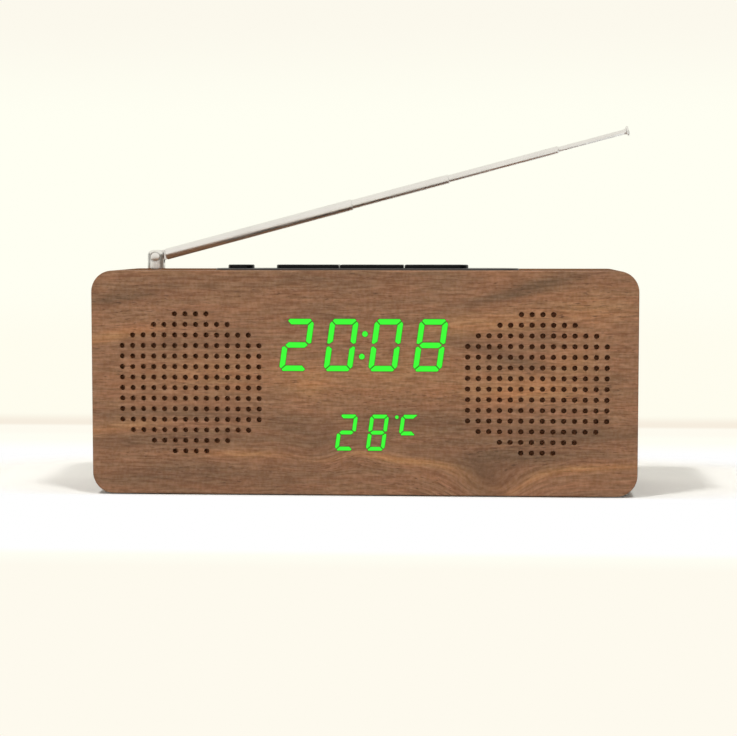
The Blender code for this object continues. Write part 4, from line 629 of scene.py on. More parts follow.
def woven(name, colour, pitch):
    """Plain weave in the plane of the front: each thread stands as |sin| of its own axis, over or under."""
    paint = Paint(name, colour, 0.9)
    x, _, z = paint.split(paint.spot())

    def wave(value):
        return paint.math("SINE", paint.math("MULTIPLY", value, math.pi / pitch))

    over = wave(paint.math("ADD", x, z))
    warp = paint.math("MULTIPLY", paint.math("ABSOLUTE", wave(x)), paint.ramp(over, -0.4, 0.4, 0.6, 1.0))
    weft = paint.math("MULTIPLY", paint.math("ABSOLUTE", wave(z)), paint.ramp(over, -0.4, 0.4, 1.0, 0.6))
    height = paint.math("MAXIMUM", warp, weft)
    dark = tuple(0.35 * part for part in colour)
    paint.shade(height, 0.45, 0.95, dark, colour)
    paint.bump(height, 0.00015)
    return paint.material


def fibrous(name, colour, roughness, pitch=0.0009):
    """Pressed fibre or foam: felted specks with shallow pits."""
    paint = Paint(name, colour, roughness)
    felt = paint.noise(paint.spot(), 1 / pitch, 5, 0.7, 0.8)
    pits = paint.cells(paint.spot(), 2 / pitch).outputs["Distance"]
    bright = tuple(2.2 * part for part in colour)
    paint.shade(felt, 0.35, 0.75, colour, bright)
    paint.bump(paint.math("ADD", felt, paint.math("MULTIPLY", pits, 0.5)), 0.00008)
    return paint.material


def sleeved(name, colour):
    """Soft insulation of a lead, with faint rings left by its drawing."""
    paint = Paint(name, colour, 0.4)
    rings = paint.noise(paint.spot(), 900, 2)
    pale = tuple(part + 0.075 * (1 - part) for part in colour)
    paint.shade(rings, 0.4, 0.7, colour, pale, 0.6)
    paint.bump(rings, 0.00003)
    return paint.material


WALNUT = walnut()
LIT_WALNUT = walnut("lit_walnut", True)
# painted shade: the sleeve's veneer is a darker copy of the walnut, so that its top, which takes more light
# than the front, stays as dark as the front
SHADED_SLEEVE_WALNUT = walnut("sleeve_veneer_painted_shade", tone=0.62)
BLACK_STEEL = plated("black_screw", (0.035, 0.035, 0.037), 0.38)
BLACK_PLASTIC = moulded("black_plastic", (0.022, 0.021, 0.020), 0.4, 0.6)
KEY_PLASTIC = moulded("key_plastic", (0.0018, 0.0020, 0.0022), 0.22, 0.15)
REAR_PLASTIC = moulded("rear_plastic", (0.018, 0.018, 0.019), 0.55, 0.4, 0.0006)
CHROME = plated("chrome", (0.86, 0.86, 0.85), 0.38, 0.06)
FOAM = fibrous("foam_pad", (0.02, 0.02, 0.02), 0.95)


def front_place(u, v, depth):
    """The front board's points: u to the right, v up, depth back. The grain runs along u."""
    return (u, FRONT_Y + np.maximum(depth, FILM), MID_Z + v), (u, v, depth)


def grille_centres():
    """A square grid of holes each side, with five, three and one left out at the ends of outer rows."""
    rows = np.arange(GRILLE_ROWS)
    column, row = np.meshgrid(rows, rows, indexing="ij")
    from_edge = np.minimum(row, GRILLE_ROWS - 1 - row)
    cuts = np.maximum(0, 5 - 2 * from_edge)
    kept = (column >= cuts) & (column < GRILLE_ROWS - cuts)
    spots = (np.stack([column, row], -1)[kept] - (GRILLE_ROWS - 1) / 2) * GRILLE_PITCH
    return np.concatenate([spots + (side * GRILLE_X, 0) for side in (-1, 1)])


def front_board():
    """The drilled front board with the display's pocket milled from behind."""
    cells = (np.arange(GRILLE_ROWS + 1) - GRILLE_ROWS / 2) * GRILLE_PITCH
    us = np.concatenate([cells - GRILLE_X, cells + GRILLE_X])
    rim = circle_rim(HOLE_RADIUS, HOLE_SIDES)
    steps = lipped(HOLE_ROUNDING, (0.0, BOARD_THICKNESS))
    edge = round_edge(EDGE_ROUNDING, 4, BOARD_THICKNESS)
    kept = np.ones((len(us) - 1, len(cells) - 1), bool)
    kept[GRILLE_ROWS] = False
    holes = [(grille_centres(), rim, steps, True)]
    half = (HALF_WIDTH, HALF_HEIGHT)
    shell, back = board(front_place, half, CORNER_RADIUS, us, cells, BOARD_THICKNESS, edge, holes, kept)
    middle = back[GRILLE_ROWS : GRILLE_ROWS + 2]
    side = np.array([us[GRILLE_ROWS], us[GRILLE_ROWS + 1]])
    u, v = (border(line) for line in np.meshgrid(side, cells, indexing="ij"))
    u = np.clip(u, -WINDOW_HALF[0], WINDOW_HALF[0])
    drop = WINDOW_Z - MID_Z
    v = np.clip(v, drop - WINDOW_HALF[1], drop + WINDOW_HALF[1])
    mouth = shell.put(*front_place(u, v, BOARD_THICKNESS))
    floor = shell.put(*front_place(u, v, SKIN_THICKNESS))
    shell.loft(border(middle), mouth)
    shell.loft(mouth, floor)
    centre = shell.put(*front_place(np.zeros(1), drop, SKIN_THICKNESS))
    shell.loft(floor, np.broadcast_to(centre, floor.shape))
    make("front_board", [shell], WALNUT, "cabinet", ["front_panel"])


def sleeve():
    """The wooden sleeve: a closed profile of inset and depth carried along the cabinet's outline.

    The outline starts at the film's joint in the middle of the bottom. Cells of the top and bottom
    are pierced for the control plate, the antenna and the foot pads, so the lines across them leave
    each hole a cell of its own.
    """
    top_us = np.array([-0.0915, -0.07, -0.061, 0.061, 0.07, 0.0915])
    bottom_us = np.array([-0.0915, -0.07, -0.0002, 0.0002, 0.07, 0.0915])
    side_vs = np.array([-0.03, -0.01, 0.01, 0.03])
    half = (HALF_WIDTH, HALF_HEIGHT)
    points, normals = outline(half, CORNER_RADIUS, CORNER_STEPS, bottom_us, side_vs, top_us, side_vs)
    points, normals = np.roll(points, -3, axis=0), np.roll(normals, -3, axis=0)
    run = np.concatenate([[0], np.cumsum(np.linalg.norm(np.diff(points, axis=0), axis=1))])
    upper = points[:, 1] > 0
    left = upper & (points[:, 0] < -0.065)
    front, rear = SLEEVE_LOW.y, SLEEVE_HIGH.y
    lines = [
        np.full(len(points), front + 0.0007),
        np.where(upper, -0.013, -0.0085),
        np.where(left, 0.004, np.where(upper, 0.0075, 0.0085)),
        np.full(len(points), 0.0225),
    ]
    rows = [(WALL, front), (0.0022, front)]
    rows += [(inset, front + depth) for inset, depth in rounded(0.0003, 3)]
    outer = len(rows)
    rows += [(0.0, line) for line in lines]
    rows += [(inset, rear - depth) for inset, depth in reversed(rounded(0.0005, 4))]
    rows += [(REBATE_WIDTH - 0.0003, rear), (REBATE_WIDTH, rear - 0.0003)]
    rows += [(REBATE_WIDTH, REBATE_Y), (WALL, REBATE_Y)]
    inner = len(rows)
    rows += [(WALL, line) for line in reversed(lines)]
    shell = Shell()
    numbers = []
    for inset, y in rows:
        spot = points - inset * normals
        numbers.append(shell.put((spot[:, 0], y, MID_Z + spot[:, 1]), (run, y, inset)))
    numbers = np.stack(numbers, 1)
    wrapped = np.concatenate([numbers, numbers[:, :1]], 1)
    wrapped = np.concatenate([wrapped, wrapped[:1]])
    corners = cell_corners(wrapped)
    pierced = np.zeros(corners.shape[:2], bool)
    k_top = np.flatnonzero(upper & (normals[:, 1] > 0.9999) & (np.abs(points[:, 0]) < 0.092))
    k_bottom = np.flatnonzero(~upper & (normals[:, 1] < -0.9999) & (np.abs(points[:, 0]) < 0.092))
    k_bottom = k_bottom[np.argsort(points[k_bottom, 0])]

    def top_place(a, b, depth):
        return (-a, b, TOP_Z - depth), (run[k_top[0]] + points[k_top[0], 0] + a, b, depth)

    def bottom_place(a, b, depth):
        return (a, b, BASE_Z + depth), (a + run[k_bottom[-1]] - points[k_bottom[-1], 0], b, depth)

    def hole(place, k, row, centre, rim, steps, through):
        cell = (np.array([k]), np.array([row]))
        lines_of = (centre[0] + np.array([-1.0, 1.0]), np.array([-1.0, 1.0]))
        own = corners[cell].reshape(1, 1, 4)
        _, last = pierce(shell, place, lines_of, own, centre, rim, steps)
        pierced[cell] = True
        if through:
            behind = (k, inner + (outer + 3 - row) - 1)
            spread = corners[behind][[3, 2, 1, 0]]
            shell.fan(spread[None], last, turned=True)
            pierced[behind] = True
        else:
            floor_of(shell, place, last, centre, steps[-1][1])

    soft = 0.00015
    plate_rim = slot_rim(PLATE_HALF + SEAT_GAP, PLATE_RADIUS + SEAT_GAP, PLATE_RADIUS + SEAT_GAP, 12)
    steps = lipped(soft, (0.0, PLATE_RECESS), (-PLATE_LEDGE, PLATE_RECESS), (-PLATE_LEDGE, WALL))
    hole(top_place, k_top[2], outer + 1, (0.0, PLATE_Y), plate_rim, steps, True)
    nut_growth, nut_depth = 0.0041, 0.004
    steps = lipped(0.0001, (0.0, nut_depth), (nut_growth, nut_depth), (nut_growth, WALL))
    centre = (-ANTENNA_X, ANTENNA_Y)
    hole(top_place, k_top[4], outer + 2, centre, circle_rim(POST_BORE_RADIUS, 24), steps, True)
    steps = lipped(soft, (0.0, FOOT_RECESS))
    foot_rim = circle_rim(FOOT_RADIUS + SEAT_GAP, 32)
    for k in (k_bottom[0], k_bottom[-2]):
        for row, y in ((outer, -FOOT_Y), (outer + 2, FOOT_Y)):
            centre = (math.copysign(FOOT_X, points[k, 0]), y)
            hole(bottom_place, k, row, centre, foot_rim, steps, False)
    shell.grid(corners, pierced)
    make("cabinet_sleeve", [shell], SHADED_SLEEVE_WALNUT, "cabinet", ["cabinet_shell"])


def rear_place(u, v, depth):
    return (u, PANEL_Y - depth, MID_Z + v), (u, v, depth)


def rear_board():
    """The moulded back with its vents, socket holes and screw recesses."""
    inset = REBATE_WIDTH + SEAT_GAP
    half = (HALF_WIDTH - inset, HALF_HEIGHT - inset)
    screw_x, screw_z = 0.095016, 0.0343
    socket_v = SOCKET_Z - MID_Z
    pitch = 0.006
    vents = (np.arange(5) - 2) * pitch
    between = np.append(vents - pitch / 2, vents[-1] + pitch / 2)
    sensors = -0.026 + (np.arange(3) - 1) * 0.0034
    inner = [-0.0329, -0.0277, -0.0243, -0.0191, 0.0045, 0.0135, 0.0285]
    outer = [-0.0975, -0.0925, 0.0925, 0.0975]
    us = np.unique(np.concatenate([outer, between - VENT_X, between + VENT_X, inner]))
    vs = np.array([-0.0365, -0.0321, -0.0245, -0.0145, 0.0145, 0.0321, 0.0365])
    vent_steps = lipped(0.0003, (0.0, PANEL_THICKNESS))
    holes = [
        (centres, rim, vent_steps, True)
        for rim, centres in (
            (slot_rim(0.0012, 0.013, 0.0009, 4), [(side * VENT_X + x, 0) for side in (-1, 1) for x in vents]),
            (slot_rim(0.0007, 0.004, 0.0005, 4), [(x, socket_v) for x in sensors]),
            (circle_rim(0.004, 24), [(0.024, socket_v)]),
            (circle_rim(0.0033, 24), [(0.009, socket_v)]),
        )
    ]
    head = 0.0022
    shaft = 0.0012 - head
    steps = lipped(0.0001, (0.0, 0.0019), (shaft, 0.0019), (shaft, PANEL_THICKNESS))
    centres = [(x * screw_x, z * screw_z) for x in (-1, 1) for z in (-1, 1)]
    holes.append((centres, circle_rim(head, 24), steps, True))
    edge = round_edge(0.0004, 3, PANEL_THICKNESS)
    shell, _ = board(rear_place, half, CORNER_RADIUS - inset, us, vs, PANEL_THICKNESS, edge, holes)
    shells = [shell]
    inner_y = PANEL_Y - PANEL_THICKNESS
    for x, z in ((-0.032, 0.0427), (0.032, 0.0167)):
        profile = [(0, 0.0052), (0.0012, 0.0052), (0.0012, 0.0088), (0.0025, 0.0088)]
        profile += [(0.0027, -0.001), (0, -0.001)]
        shells.append(turned(profile, 24, (x, inner_y, z), (0, -1, 0)))
    make("rear_cover", shells, REAR_PLASTIC, "cabinet", ["rear_panel"])


def level(x, z):
    """The placing of a level board over the plate's middle line, its top at a height."""

    def place(u, v, depth):
        return (x + u, PLATE_Y + v, z - depth), None

    return place


def control_plate():
    """The low black plate on top, open for the round button and the strip of keys."""
    us = np.array([-0.0555, -0.0424, 0.0402, 0.05])
    vs = np.array([-0.0061, 0.0061])
    thickness = PLATE_TOP - PLATE_BOTTOM
    steps = lipped(0.0001, (0.0, thickness))
    strip = KEY_STRIP_HALF + SEAT_GAP
    across = KEY_HALF_DEPTH + SEAT_GAP
    holes = [
        ([(BUTTON_X, 0.0)], circle_rim(BUTTON_RADIUS + SEAT_GAP, 48), steps, True),
        ([(KEY_STRIP_X, 0.0)], slot_rim(strip, across, across, 12), steps, True),
    ]
    edge = rounded(0.0004, 4) + [(0.0, thickness)]
    half = (PLATE_HALF, PLATE_RADIUS)
    shell, _ = board(level(0.0, PLATE_TOP), half, 0.99 * PLATE_RADIUS, us, vs, thickness, edge, holes)
    shells = [shell]
    for x in PLATE_BOSSES:
        profile = [(0, -0.0028), (0.0012, -0.0028), (0.0012, -0.0066), (0.0022, -0.0066), (0.0022, 0), (0, 0)]
        shells.append(turned(profile, 24, (x, PLATE_Y, PLATE_BOTTOM)))
    make("top_plate", shells, BLACK_PLASTIC, "cabinet", ["control_plate"])


def under_cap(x):
    """The stem below a key or button that presses its switch."""
    low, high = BUTTON_LOW.z, FLANGE_TOP - 0.0004
    return turned([(0, low), (0.0016, low), (0.0016, high), (0, high)], 16, (x, PLATE_Y, 0))


def keys():
    """Three keys split from one strip with round ends; each cap's edge is rounded over."""
    for name, i in (("key_left", -1), ("key_middle", 0), ("key_right", 1)):
        x = KEY_STRIP_X + i * (2 * KEY_HALF + KEY_SPLIT)
        radii = np.where(QUARTERS[:, 0] == i, 0.99 * KEY_HALF_DEPTH, 0.0006)
        height = KEY_TOP - FLANGE_TOP
        us = np.array([-0.0086, 0.0, 0.0086])
        vs = np.array([-0.0038, 0.0038])
        edge = rounded(0.00045, 5) + [(0.0, height)]
        half = (KEY_HALF, KEY_HALF_DEPTH)
        cap, _ = board(level(x, KEY_TOP), half, radii, us, vs, height, edge, [])
        spread = KEY_HALF_DEPTH + FLANGE
        radii = np.where(QUARTERS[:, 0] == i, 0.99 * spread, 0.0003)
        half = (KEY_HALF + abs(i) * FLANGE / 2, spread)
        flange_place = level(x + i * FLANGE / 2, FLANGE_TOP)
        flange, _ = board(flange_place, half, radii, us, vs, FLANGE, [(0.0, 0.0), (0.0, FLANGE)], [])
        make(f"{name}_cap", [cap, flange, under_cap(x)], KEY_PLASTIC, name, [name])


def round_button():
    """The round button: a turned cap with a rounded edge, on its flange and stem."""
    r, f = BUTTON_RADIUS, BUTTON_RADIUS + FLANGE
    low = FLANGE_TOP - FLANGE
    profile = [(0, KEY_TOP), (0.6 * r, KEY_TOP)]
    profile += [(r - inset, KEY_TOP - depth) for inset, depth in rounded(0.00045, 5)]
    profile += [(r, FLANGE_TOP), (f, FLANGE_TOP), (f, low), (0, low)]
    shells = [turned(profile, 64, (BUTTON_X, PLATE_Y, 0)), under_cap(BUTTON_X)]
    make("power_button_cap", shells, KEY_PLASTIC, "power_button", ["power_button"])


def foot_pads():
    """Four foam pads with softly rounded edges."""
    for name in ("foot_front_left", "foot_front_right", "foot_rear_left", "foot_rear_right"):
        low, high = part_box(name)
        middle = (low + high) / 2
        r = FOOT_RADIUS
        profile = [(0, low.z), (r - 0.0003, low.z), (r - 0.0001, low.z + 0.0001), (r, low.z + 0.0003)]
        profile += [(r, high.z), (0, high.z)]
        pad = turned(profile, 48, (middle.x, middle.y, 0))
        make(f"{name}_pad", [pad], FOAM, "cabinet", [name])


def rear_screws():
    """Crowned screw heads with a cross recess, sunk in the rear cover.

    The recess's edge is, for an angle t folded to an eighth of a turn, min(arm / cos t, width / sin t).
    """
    sides = 48
    t = 2 * math.pi * np.arange(sides) / sides
    folded = np.abs((t + math.pi / 4) % (math.pi / 2) - math.pi / 4)
    cross = np.minimum(0.0011 / np.cos(folded), 0.00024 / np.maximum(np.sin(folded), 0.01))
    for name in (f"rear_screw_{i}" for i in range(1, 5)):
        low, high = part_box(name)
        seat = high.y - 0.0013
        up = np.linspace(0, math.pi / 2, 6)
        crown = [(0.00115 + 0.00075 * math.sin(a), 0.0013 - 0.0011 * (1 - math.cos(a))) for a in up]
        profile = [(0, 0.0004), (0.7 * cross, 0.0005), (cross, 0.00125), (0.00115, 0.0013), *crown[1:]]
        profile += [(0.0019, 0.0), (0.0009, 0.0), (0.0009, low.y + 0.0008 - seat), (0, low.y - seat)]
        at = ((low.x + high.x) / 2, seat, (low.z + high.z) / 2)
        head = turned(profile, sides, at, (0, 1, 0))
        make(f"{name}_head", [head], BLACK_STEEL, "cabinet", [name])


def sockets():
    """The power socket with its metal pin and the sound socket, each a round nose on a square body."""
    for name, nose, bore in (("power_jack", 0.0037, 0.00275), ("audio_jack", 0.003, 0.00175)):
        low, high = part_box(name)
        x = (low.x + high.x) / 2
        half = (high.x - low.x) / 2
        mouth = high.y
        body_y = PANEL_Y - PANEL_THICKNESS - SEAT_GAP

        def place(u, v, depth, x=x):
            return (x + u, body_y - depth, SOCKET_Z + v), None

        us = np.array([-0.7, 0.7]) * half
        depth = body_y - low.y
        edge = rounded(0.0003, 3) + [(0.0, depth)]
        floor = SOCKET_DEPTH - (mouth - body_y)
        holes = [([(0.0, 0.0)], circle_rim(bore, 32), [(0.0, 0.0), (0.0, floor)], False)]
        body, _ = board(place, (half, half), 0.0005, us, us, depth, edge, holes)
        lip = [(nose - inset, -sunk) for inset, sunk in reversed(rounded(0.0003, 3))]
        profile = [(nose, body_y - mouth), *lip, (bore + 0.0002, 0.0), (bore, -0.0002)]
        profile.append((bore, body_y - mouth))
        collar = turned(profile, 32, (x, mouth, SOCKET_Z), (0, 1, 0))
        make(f"{name}_body", [body, collar], BLACK_PLASTIC, "cabinet", [name])
    profile = [(0, -0.001), (0.0005, -0.001), (0.0009, -0.0012), (0.001, -0.0016)]
    profile += [(0.001, -0.0091), (0, -0.0091)]
    low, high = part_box("power_jack")
    pin = turned(profile, 24, ((low.x + high.x) / 2, high.y, SOCKET_Z), (0, 1, 0))
    make("power_jack_pin", [pin], CHROME, "cabinet", ())


MAST = np.array([math.cos(REST_ANGLE), 0.0, math.sin(REST_ANGLE)])
ACROSS = np.array([-math.sin(REST_ANGLE), 0.0, math.cos(REST_ANGLE)])
PIVOT = np.array([ANTENNA_X, ANTENNA_Y, PIVOT_Z])


def crimp(radius, bore, end):
    """A tube's outer end: a shallow groove, a bead, then the rim rolled in over the next tube."""
    groove = [(radius, -0.0016), (radius - 0.00008, -0.00135), (radius - 0.00008, -0.00125), (radius, -0.001)]
    t = np.linspace(0, math.pi / 2, 5)
    rolled = np.stack([bore + (radius - bore) * np.cos(t), -0.0006 + 0.0006 * np.sin(t)], -1)
    return [(r, end + s) for r, s in groove] + [(r, end + s) for r, s in rolled]


def antenna_tubes():
    """The chromed sections, turned about the mast's line and crimped where the next one comes out."""
    ends = (0.081, 0.1204, 0.1648, 0.1906)
    radii = (0.0022, 0.0018, 0.00145, 0.001)
    bores = (0.0019, 0.00155, 0.0011)
    start = 0.004
    first = [(0, start), (radii[0] - 0.0003, start), (radii[0], start + 0.0003)]
    first += crimp(radii[0], bores[0], ends[0]) + [(bores[0], start + 0.003), (0, start + 0.003)]

    tang_middle, thickness = 0.00175, 0.002

    def tang_place(u, v, depth):
        spot = PIVOT + (u[..., None] + tang_middle) * MAST + v[..., None] * ACROSS
        return (spot[..., 0], spot[..., 1] - thickness / 2 + depth, spot[..., 2]), None

    us = np.array([-0.00305, -0.0004, 0.0025])
    vs = np.array([-0.0013, 0.0013])
    holes = [([(-tang_middle, 0.0)], circle_rim(0.00115, 24), [(0.0, 0.0), (0.0, thickness)], True)]
    edge = [(0.0001, 0.0), (0.0, 0.0001), (0.0, thickness - 0.0001), (0.0001, thickness)]
    tang, _ = board(tang_place, (0.00375, 0.002), 0.00198, us, vs, thickness, edge, holes)
    shells = [turned(first, 48, PIVOT, MAST), tang]
    make("antenna_mast_tube", shells, CHROME, "antenna_mast", ["antenna_tube_1"])
    for i, (node, body, length) in enumerate((
        ("antenna_tube_2", "antenna_stage_2", 0.074),
        ("antenna_tube_3", "antenna_stage_3", 0.073),
    ), 1):
        back = ends[i] - length
        profile = [(bores[i], back), (radii[i] - 0.0001, back), (radii[i], back + 0.0001)]
        profile += crimp(radii[i], bores[i], ends[i])
        make(f"{node}_sleeve", [turned(profile, 40, PIVOT, MAST)], CHROME, body, [node])
    r, end = radii[3], ends[3]
    back = end - 0.073
    t = np.linspace(0, math.pi / 2, 6)
    flare = np.stack([r + 0.0007 * (1 - np.cos(t)), end + 0.0016 * np.sin(t)], -1)
    profile = [(0, back), (r - 0.0002, back), (r, back + 0.0002), *flare]
    profile += [(0.0019, end + 0.00165), (0.002, end + 0.0018), (0.002, end + 0.0022), (0.0018, end + 0.0024)]
    profile.append((0, end + 0.0024))
    tip = turned(profile, 40, PIVOT, MAST)
    make("antenna_tip", [tip], CHROME, "antenna_tip", ["antenna_tip_rod"])


def post_radius(z):
    """The post's radius at a height over the pivot: upright, then crowned as (1 - k^2.4)^(1/2.4)."""
    k = np.clip((z / POST_CROWN - CROWN_START) / (1 - CROWN_START), 0, 1)
    return POST_RADIUS * (1 - k**CROWN_POWER) ** (1 / CROWN_POWER)


def cheek(side):
    """One side of the post's fork: rows from the rivet's flat seat out to the cheek's edge.

    On each row a point lies between the seat's rim and the edge, and stands off the middle plane by
    sqrt(radius(z)^2 - x^2). Its back is the flat wall of the slot.
    """
    inner, floor = FORK_SLOT_HALF, FORK_FLOOR
    seat, seat_radius = 0.00242, 0.0021
    k = (1 - (inner / POST_RADIUS) ** CROWN_POWER) ** (1 / CROWN_POWER)
    top = POST_CROWN * (CROWN_START + (1 - CROWN_START) * k)
    z = floor + (top - floor) * np.sin(np.linspace(0, math.pi / 2, 15))
    x = np.sqrt(np.maximum(post_radius(z) ** 2 - inner**2, 0))
    base = np.linspace(-x[0], x[0], 12)[1:-1]
    edge_x = np.concatenate([base, x, -x[-2::-1]])
    edge_z = np.concatenate([np.full(10, floor), z, z[-2::-1]])
    angle = np.arctan2(edge_z, edge_x)
    rim_x, rim_z = seat_radius * np.cos(angle), seat_radius * np.sin(angle)
    shell = Shell()

    def row(x, z, y):
        return shell.put((ANTENNA_X + x, ANTENNA_Y + side * y, PIVOT_Z + z))

    pole = np.broadcast_to(row(0.0, 0.0, seat).reshape(1), angle.shape)
    rows = [pole, row(0.97 * rim_x, 0.97 * rim_z, seat)]
    curved = [(share, None) for share in (0, 0.15, 0.4, 0.7, 1)]
    for share, flat in [(0, seat), *curved, (1, inner)]:
        x = rim_x + (edge_x - rim_x) * share
        z = rim_z + (edge_z - rim_z) * share
        rows.append(row(x, z, flat or np.sqrt(np.maximum(post_radius(z) ** 2 - x**2, inner**2))))
    back = row(0.0, 0.3 * floor, inner)
    rows.append(np.broadcast_to(back.reshape(1), angle.shape))
    for first, second in zip(rows, rows[1:]):
        shell.loft(first, second)
    return shell


def antenna_post():
    """The turning post: a turned foot on its shank, with the two cheeks of the fork standing on it."""
    end = POST_LOW.z - PIVOT_Z
    profile = [(0, end), (0.0018, end), (0.002, end + 0.0003), (0.002, -0.0045), (0.0034, -0.0045)]
    profile += [(POST_RADIUS, -0.0044), (POST_RADIUS, FORK_FLOOR), (0, FORK_FLOOR)]
    shells = [turned(profile, 64, PIVOT), cheek(-1), cheek(1)]
    make("antenna_fork", shells, CHROME, "antenna_base", ["antenna_post"])
    radius, reach, face = 0.0019, 0.00322, 0.00272
    t = np.linspace(0, math.pi / 2, 7)
    dome = np.stack([radius * np.sin(t), reach - 0.00045 * (1 - np.cos(t))], -1)
    half = [*dome, (radius, face), (0.001, face)]
    profile = half + [(r, -h) for r, h in reversed(half)]
    rivet = turned(profile, 48, PIVOT, (0, 1, 0))
    make("antenna_rivet_pin", [rivet], CHROME, "antenna_base", ["antenna_rivet"])


FIGURES = {"0": "abcdef", "2": "abdeg", "8": "abcdefg"}
# Ends of bars, in strokes: a flat and a side bar at a corner, a side and the middle bar at half height.
CORNER_CUT = np.array([(0.70, 0.0), (0.392, 0.328), (1.064, 1.0)])
CORNER_CUT_ACROSS = np.array([(0.0, 0.84), (0.328, 0.392), (1.0, 1.064)])
MIDDLE_CUT = np.array([(1.0, -0.62), (0.40, -0.16), (0.0, -0.35)])
MIDDLE_POINT = np.array([(0.50, 0.0), (1.04, -0.5)])


def figure_bars(width, height, stroke, lit):
    """The lit bars of a figure as outlines over its lower left corner: cut corners, a pointed middle."""
    half = height / 2
    flip, mirror = np.array([1, -1]), np.array([-1, 1])
    cut = stroke * CORNER_CUT
    flat = np.concatenate([cut[:1], cut * mirror + (width, 0), cut[:0:-1]])
    side = np.concatenate([stroke * CORNER_CUT_ACROSS, stroke * MIDDLE_CUT + (0, half)])
    point = stroke * MIDDLE_POINT
    far = point * mirror + (width, 0)
    middle = np.concatenate([point, far[::-1], far[1:] * flip, point[1:] * flip])
    bars = {
        "a": flat * flip + (0, height), "b": side * -1 + (width, height), "c": side * mirror + (width, 0),
        "d": flat, "e": side, "f": side * flip + (0, height), "g": middle + (0, half),
    }
    return [bars[name] for name in lit]


def lit_outlines():
    """Every lit bar and dot of the time and the temperature, in the plane of the front board."""
    made = []
    lean = np.array([(1, 0), (FIGURE_LEAN, 1)])

    def add(bars, left, bottom, stroke):
        made.extend((bar @ lean + (left, bottom), BAR_ROUNDING * stroke) for bar in bars)

    def row(figures, left, bottom, width, height, pitch, stroke):
        for i, figure in enumerate(figures):
            add(figure_bars(width, height, stroke, FIGURES[figure]), left + i * pitch, bottom, stroke)

    big_bottom = WINDOW_Z - MID_Z + WINDOW_HALF[1] - WINDOW_BORDER - BIG_HEIGHT
    big_width = 3 * BIG_PITCH + BIG_WIDTH + BIG_HEIGHT * FIGURE_LEAN
    row("2008", BIG_ROW_X - big_width / 2, big_bottom, BIG_WIDTH, BIG_HEIGHT, BIG_PITCH, BIG_STROKE)
    small_bottom = WINDOW_Z - MID_Z - WINDOW_HALF[1] + WINDOW_BORDER
    small_width = SMALL_PITCH + SMALL_WIDTH + SMALL_HEIGHT * FIGURE_LEAN
    left, stroke = SMALL_ROW_X - small_width / 2, SMALL_STROKE
    row("28", left, small_bottom, SMALL_WIDTH, SMALL_HEIGHT, SMALL_PITCH, stroke)
    right, top = left + small_width, small_bottom + SMALL_HEIGHT
    cut, across = stroke * CORNER_CUT, stroke * CORNER_CUT_ACROSS
    foot = np.concatenate([cut[:1], [(UNIT_WIDTH, 0), (UNIT_WIDTH - stroke, stroke)], cut[:0:-1]])
    side = np.concatenate([across, (across * (1, -1))[::-1] + (0, UNIT_HEIGHT)])
    head = foot * (1, -1) + (0, UNIT_HEIGHT)
    add([foot, side, head], right + 0.0034, top - UNIT_HEIGHT, stroke)
    dots = []
    for share in (0.283, 0.712):
        x = BIG_ROW_X + (share - 0.5) * BIG_HEIGHT * FIGURE_LEAN
        dots.append(((x, big_bottom + share * BIG_HEIGHT), COLON_RADIUS))
    dots.append(((right + 0.0028, top - 0.001), DEGREE_RADIUS))
    return made, dots


def light_place(u, v, depth):
    return (u, FRONT_Y + depth, MID_Z + v), (u, v, depth)


def lit_figures():
    """The light of the lamps through the veneer: a film on each lit bar, its light fading at the edge.

    A bar's rows are its corners drawn in by the rounding and swept out again by an arc of rounding
    plus growth, so that growth runs from the full light to the bare veneer.
    """
    bars, dots = lit_outlines()
    outlines = []
    turn = np.linspace(0, 1, 5)
    for bar, radius in bars:
        edge = following(bar.T).T - bar
        edge = edge / np.linalg.norm(edge, axis=1, keepdims=True)
        facing = np.stack([edge[:, 1], -edge[:, 0]], -1)
        if np.cross(edge[0], edge[1]) < 0:
            bar, facing = bar[::-1], -facing[::-1]
            facing = np.roll(facing, -1, axis=0)
        before = np.roll(facing, 1, axis=0)
        centre = bar - radius * (facing + before) / (1 + np.sum(facing * before, axis=1, keepdims=True))
        first = np.arctan2(before[:, 1], before[:, 0])
        sweep = (np.arctan2(facing[:, 1], facing[:, 0]) - first) % (2 * math.pi)
        angle = first[:, None] + sweep[:, None] * turn
        spread = np.stack([np.cos(angle), np.sin(angle)], -1)
        outlines.append((np.repeat(centre, 5, axis=0), spread.reshape(-1, 2), radius))
    for spot, radius in dots:
        rim, facing = circle_rim(radius, 32)
        outlines.append((np.broadcast_to(spot, rim.shape), facing, radius))
    shells, light = [], []
    for centre, facing, radius in outlines:
        shell = Shell()
        middle = centre.mean(0)
        last = np.broadcast_to(shell.put(*light_place(middle[:1], middle[1:], 0.0)), len(centre))
        light.append([1.0])
        for growth, depth, brightness in LIGHT_ROWS:
            spot = centre + (radius + growth) * facing
            row = shell.put(*light_place(spot[:, 0], spot[:, 1], depth))
            shell.loft(last, row)
            last = row
            light.append(np.full(len(row), brightness))
        under = shell.put(*light_place(middle[:1], middle[1:], FILM))
        shell.loft(last, np.broadcast_to(under, last.shape))
        light.append([0.0])
        shells.append(shell)
    make("lit_figures", shells, LIT_WALNUT, "cabinet", (), light=np.concatenate(light))


front_board()
lit_figures()
sleeve()
rear_board()
control_plate()
keys()
round_button()
foot_pads()
rear_screws()
sockets()
antenna_tubes()
antenna_post()


